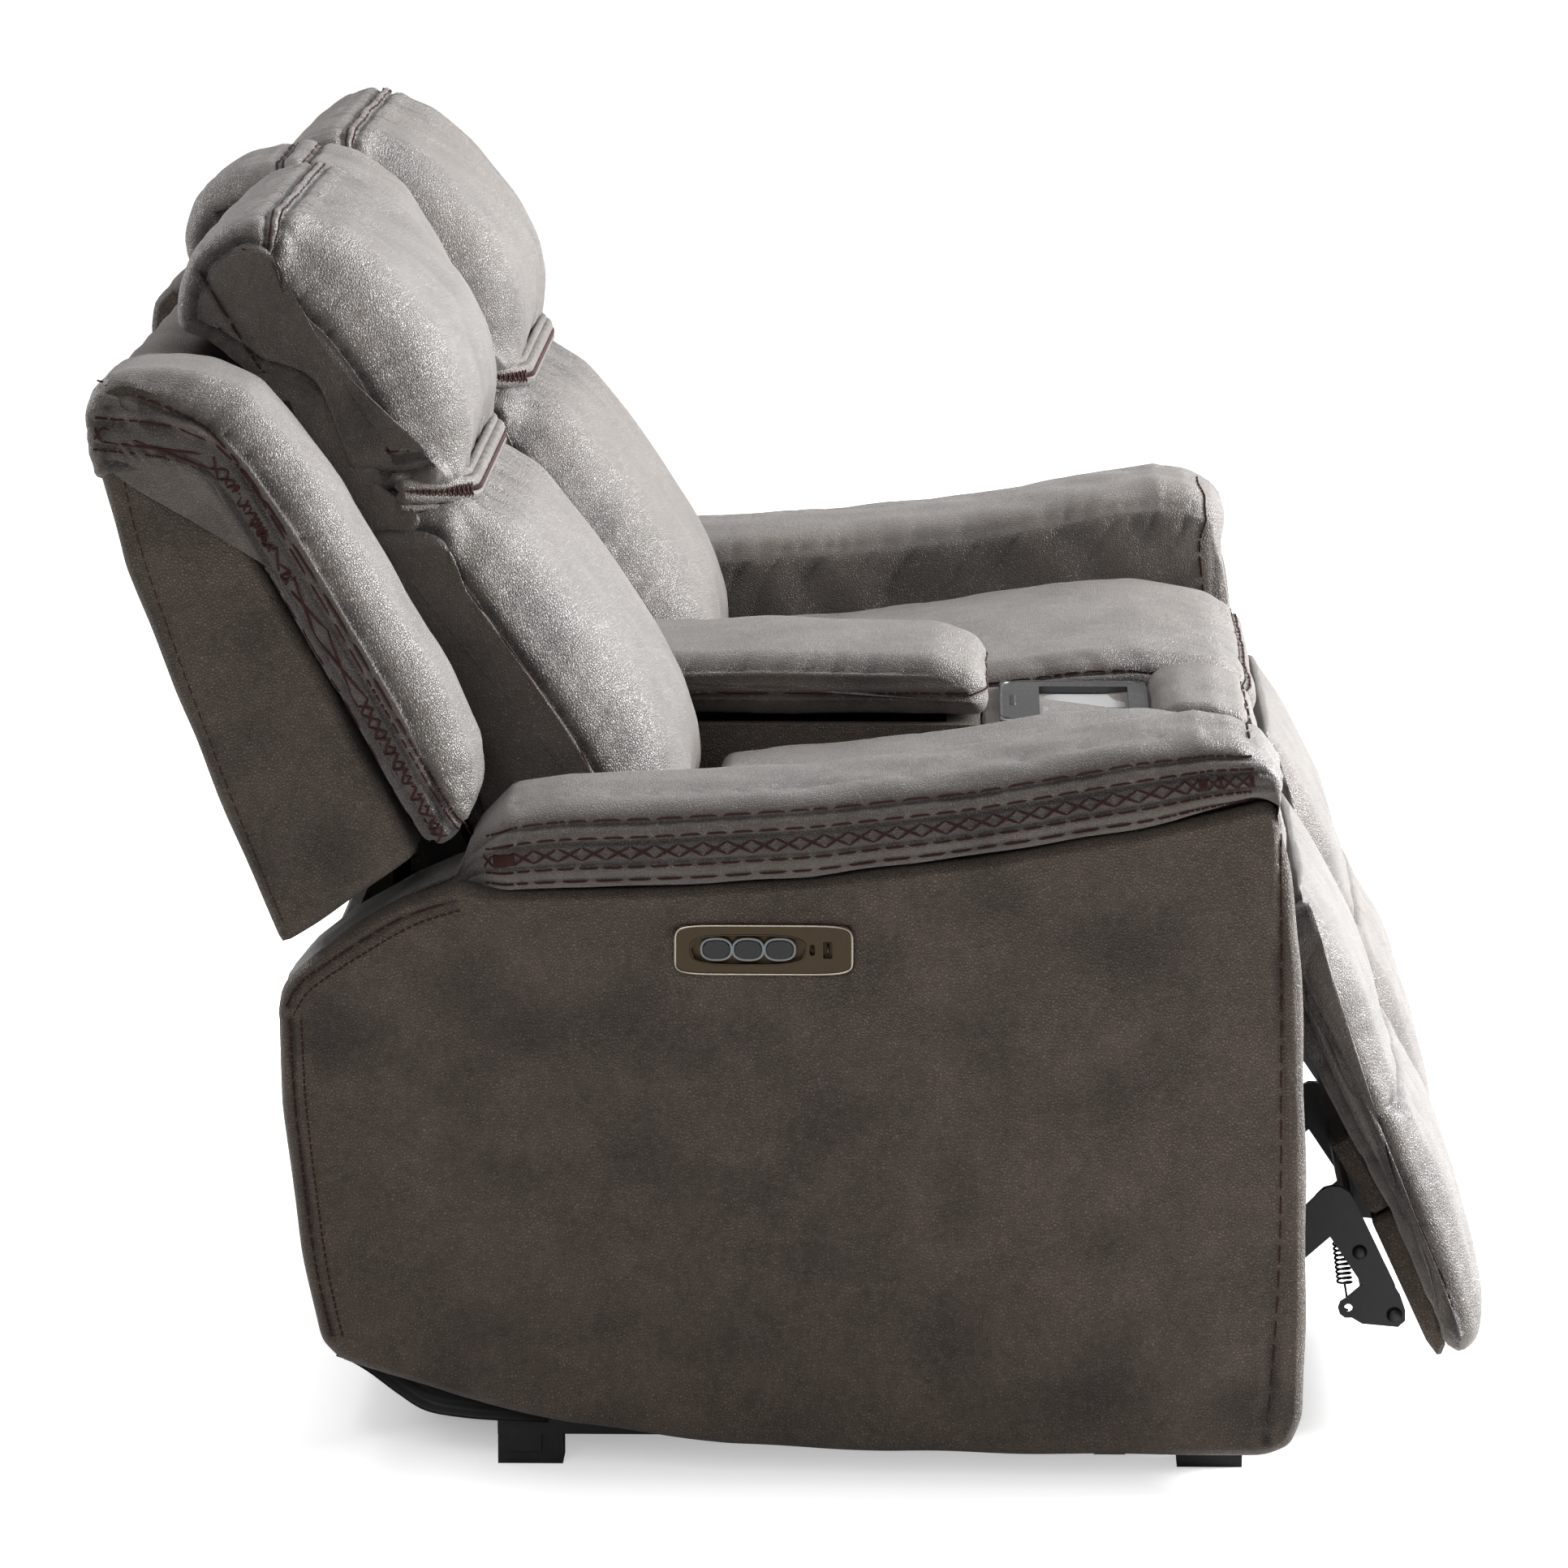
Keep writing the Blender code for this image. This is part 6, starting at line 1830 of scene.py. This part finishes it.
    def build(self, threads: dict[str, Sewing]) -> None:
        """Makes every piece of the middle.

        Args:
            threads: body to its thread.
        """
        self.front_roll(threads["base"])
        self.tray()
        self.lid(threads["console_lid"])
        self.back(threads["base"])
        shell_front = [(0.846, 0.556), (0.997, 0.962), (1.010, 0.976), (1.066, 0.978), (1.084, 0.961), (1.087, 0.932)]
        shell_rear = [(1.059, 0.818), (0.994, 0.641), (0.931, 0.483), (0.880, 0.471), (0.846, 0.471)]
        Pad("middle_shell", "base", ("console_back_shell",), shell_front + shell_rear, -self.half, self.half,
            edge=0.006, reach=1.0, soften=0.005, dome=0.001, step=0.0075, cap=0.04, seam_depth=0.0, fill=0.95,
            pressure=0.4,
            swelling=0.002, seed=97, finish=PANEL_HIDE).build()
        dress("console_body", PANEL_HIDE)
        dress("rear_valance", PANEL_HIDE)


@dataclass
class Underside:
    """The base's finish, rubber glides and the dust cloth behind the front of each seat."""

    def build(self) -> None:
        """Dresses the base and hangs the cloths."""
        dress("base_frame", BLACK_STEEL)
        low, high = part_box("base_frame")
        for side in Side:
            for y in (low.y + 0.035, high.y - 0.035):
                x = side.value * (high.x - 0.025)
                profile = [(-0.001, 0.0), (-0.001, 0.016), (0.003, 0.019), (0.010, 0.019), (0.0125, 0.015),
                           (0.0125, 0.0)]
                glide = turned(f"{side.prefix}_glide_{'front' if y < 0 else 'rear'}", np.array([x, y, 0.0011]),
                               np.array([0, 0, 1.0]), profile, 28)
                RUBBER.on(glide, "black_steel", "base")
        self.cloth()

    def cloth(self) -> None:
        """The dust cloth at the rear: a profile from the valance down to the rear tube, with small pleats across X."""
        profile = placed([(0.856, 0.106), (0.843, 0.101), (0.825, 0.090), (0.800, 0.071), (0.776, 0.056),
                          (0.745, 0.050),
                          (0.710, 0.0475), (0.668, 0.0462)])
        line = even(cubic(profile, np.arange(8.0), np.linspace(0, 7, 80)), 46)
        x = np.linspace(-0.928, 0.928, 300)
        sag = 0.0035 * uneven(x / 0.045, 5) * np.sin(np.pi * np.linspace(0, 1, 46))[:, None]
        grid = np.stack([np.broadcast_to(x, (46, 300)), np.broadcast_to(line[:, :1], (46, 300)) + 0.5 * sag,
                         np.broadcast_to(line[:, 1:], (46, 300)) + 0.4 * np.abs(sag)], axis=-1)
        row, column = np.meshgrid(np.arange(45), np.arange(299), indexing="ij")
        first = row * 300 + column
        quads = np.stack([first, first + 1, first + 301, first + 300], -1).reshape(-1, 4)
        obj = mesh_object("dust_cloth", grid.reshape(-1, 3), quads.tolist())
        thick = obj.modifiers.new("thickness", "SOLIDIFY")
        thick.thickness, thick.offset = 0.0008, 0.0
        DUST_CLOTH.on(obj, "black_steel", "base")


# ---- scene


CAMERA_AT = (-8.15271939, -0.16878382, 1.80285644)
CAMERA_TILT, CAMERA_TURN = 9.28829, 1.33809
CAMERA_LENS = 192.093


def stage() -> None:
    """A pale floor that glows for the camera as a white backdrop, with the glow dimmed over the seats' footprint as a
    painted shadow; soft lights and the camera.
    """
    bpy.ops.mesh.primitive_plane_add(size=60, location=(0, 0, 0))
    floor = bpy.context.object
    floor.name = "floor"
    material = bpy.data.materials.new("pale floor")
    material.use_nodes = True
    shader = material.node_tree.nodes["Principled BSDF"]
    sketch = Sketch(material.node_tree)
    place = sketch.add("ShaderNodeTexCoord").outputs["Object"]
    tone = sketch.mix(sketch.noise(place, 0.8, 2.0), colour(0.93, 0.93, 0.93), colour(0.95, 0.95, 0.95))
    material.node_tree.links.new(tone, shader.inputs["Base Color"])
    shader.inputs["Roughness"].default_value = 0.9
    shader.inputs["Specular IOR Level"].default_value = 0.1
    shader.inputs["Emission Color"].default_value = (1.0, 1.0, 1.0, 1.0)
    # The floor glows only for camera rays; over the seats' footprint the glow drops from 0.80 to 0.26, a painted
    # contact shadow.
    seen = sketch.add("ShaderNodeLightPath").outputs["Is Camera Ray"]
    axes = sketch.add("ShaderNodeSeparateXYZ", {"Vector": place}).outputs
    beside = sketch.maths("SUBTRACT", sketch.maths("ABSOLUTE", axes["X"]), 0.90)
    ahead = sketch.maths("SUBTRACT", sketch.maths("ABSOLUTE", axes["Y"]), 0.50)
    backdrop_glow_with_painted_shadow = sketch.spread(sketch.maths("MAXIMUM", beside, ahead), -0.20, 0.14, 0.26, 0.80)
    material.node_tree.links.new(sketch.times(seen, backdrop_glow_with_painted_shadow), shader.inputs["Emission Strength"])
    floor.data.materials.append(material)
    scene = bpy.context.scene
    scene.view_settings.view_transform = "Standard"
    world = scene.world or bpy.data.worlds.new("studio")
    scene.world = world
    world.use_nodes = True
    world.node_tree.nodes["Background"].inputs["Color"].default_value = (1.0, 1.0, 1.0, 1.0)
    world.node_tree.nodes["Background"].inputs["Strength"].default_value = 0.25
    for name, place_, aim, size, power in (("key", (4.2, -4.2, 3.0), (0, -0.2, 0.6), (3.2, 2.6), 560.0),
                                           ("front", (0.8, -4.8, 2.4), (0, 0, 0.6), (2.6, 1.8), 520.0),
                                           ("top", (1.0, 0.6, 4.6), (0, 0.1, 0.8), (4.0, 2.8), 130.0),
                                           ("rim", (2.5, 4.0, 2.6), (0, 0.3, 0.8), (2.5, 2.0), 110.0),
                                           ("fill", (-6.0, 1.0, 2.6), (0, 0, 0.5), (2.0, 1.6), 72.0)):
        data = bpy.data.lights.new(name, "AREA")
        data.shape, data.size, data.size_y, data.energy = "RECTANGLE", size[0], size[1], power
        lamp = bpy.data.objects.new(name, data)
        lamp.location = place_
        way = np.array(aim, float) - np.array(place_, float)
        lamp.rotation_euler = Vector(way).to_track_quat("-Z", "Y").to_euler()
        scene.collection.objects.link(lamp)
    tilt, turn = math.radians(CAMERA_TILT), math.radians(CAMERA_TURN)
    forward = Vector((math.cos(tilt) * math.cos(turn), math.cos(tilt) * math.sin(turn), -math.sin(tilt)))
    right = Vector((math.sin(turn), -math.cos(turn), 0))
    up = right.cross(forward)
    data = bpy.data.cameras.new("view")
    data.lens, data.sensor_width, data.sensor_height = CAMERA_LENS, 36.0, 36.0
    data.clip_end = 200
    camera = bpy.data.objects.new("view", data)
    camera.matrix_world = Matrix([[*row] for row in zip(right, up, -forward, CAMERA_AT)] + [[0, 0, 0, 1]])
    scene.collection.objects.link(camera)
    scene.camera = camera


def main() -> None:
    """Builds every sub-assembly in order."""
    logging.basicConfig(level=logging.INFO)
    stage()
    bodies = ["base", "console_lid"]
    bodies += [f"{side.prefix}_{part}" for side in Side for part in ("headrest", "back", "carriage", "footrest")]
    threads = {body: Sewing(body) for body in bodies}
    for side in Side:
        Arm(side).build(threads["base"])
        Seat(side).build(threads)
        Mechanism(side).build()
    Console().build(threads)
    Underside().build()
    for body, sewing in threads.items():
        sewing.piece(f"{body}_thread")


if __name__ == "__main__":
    main()
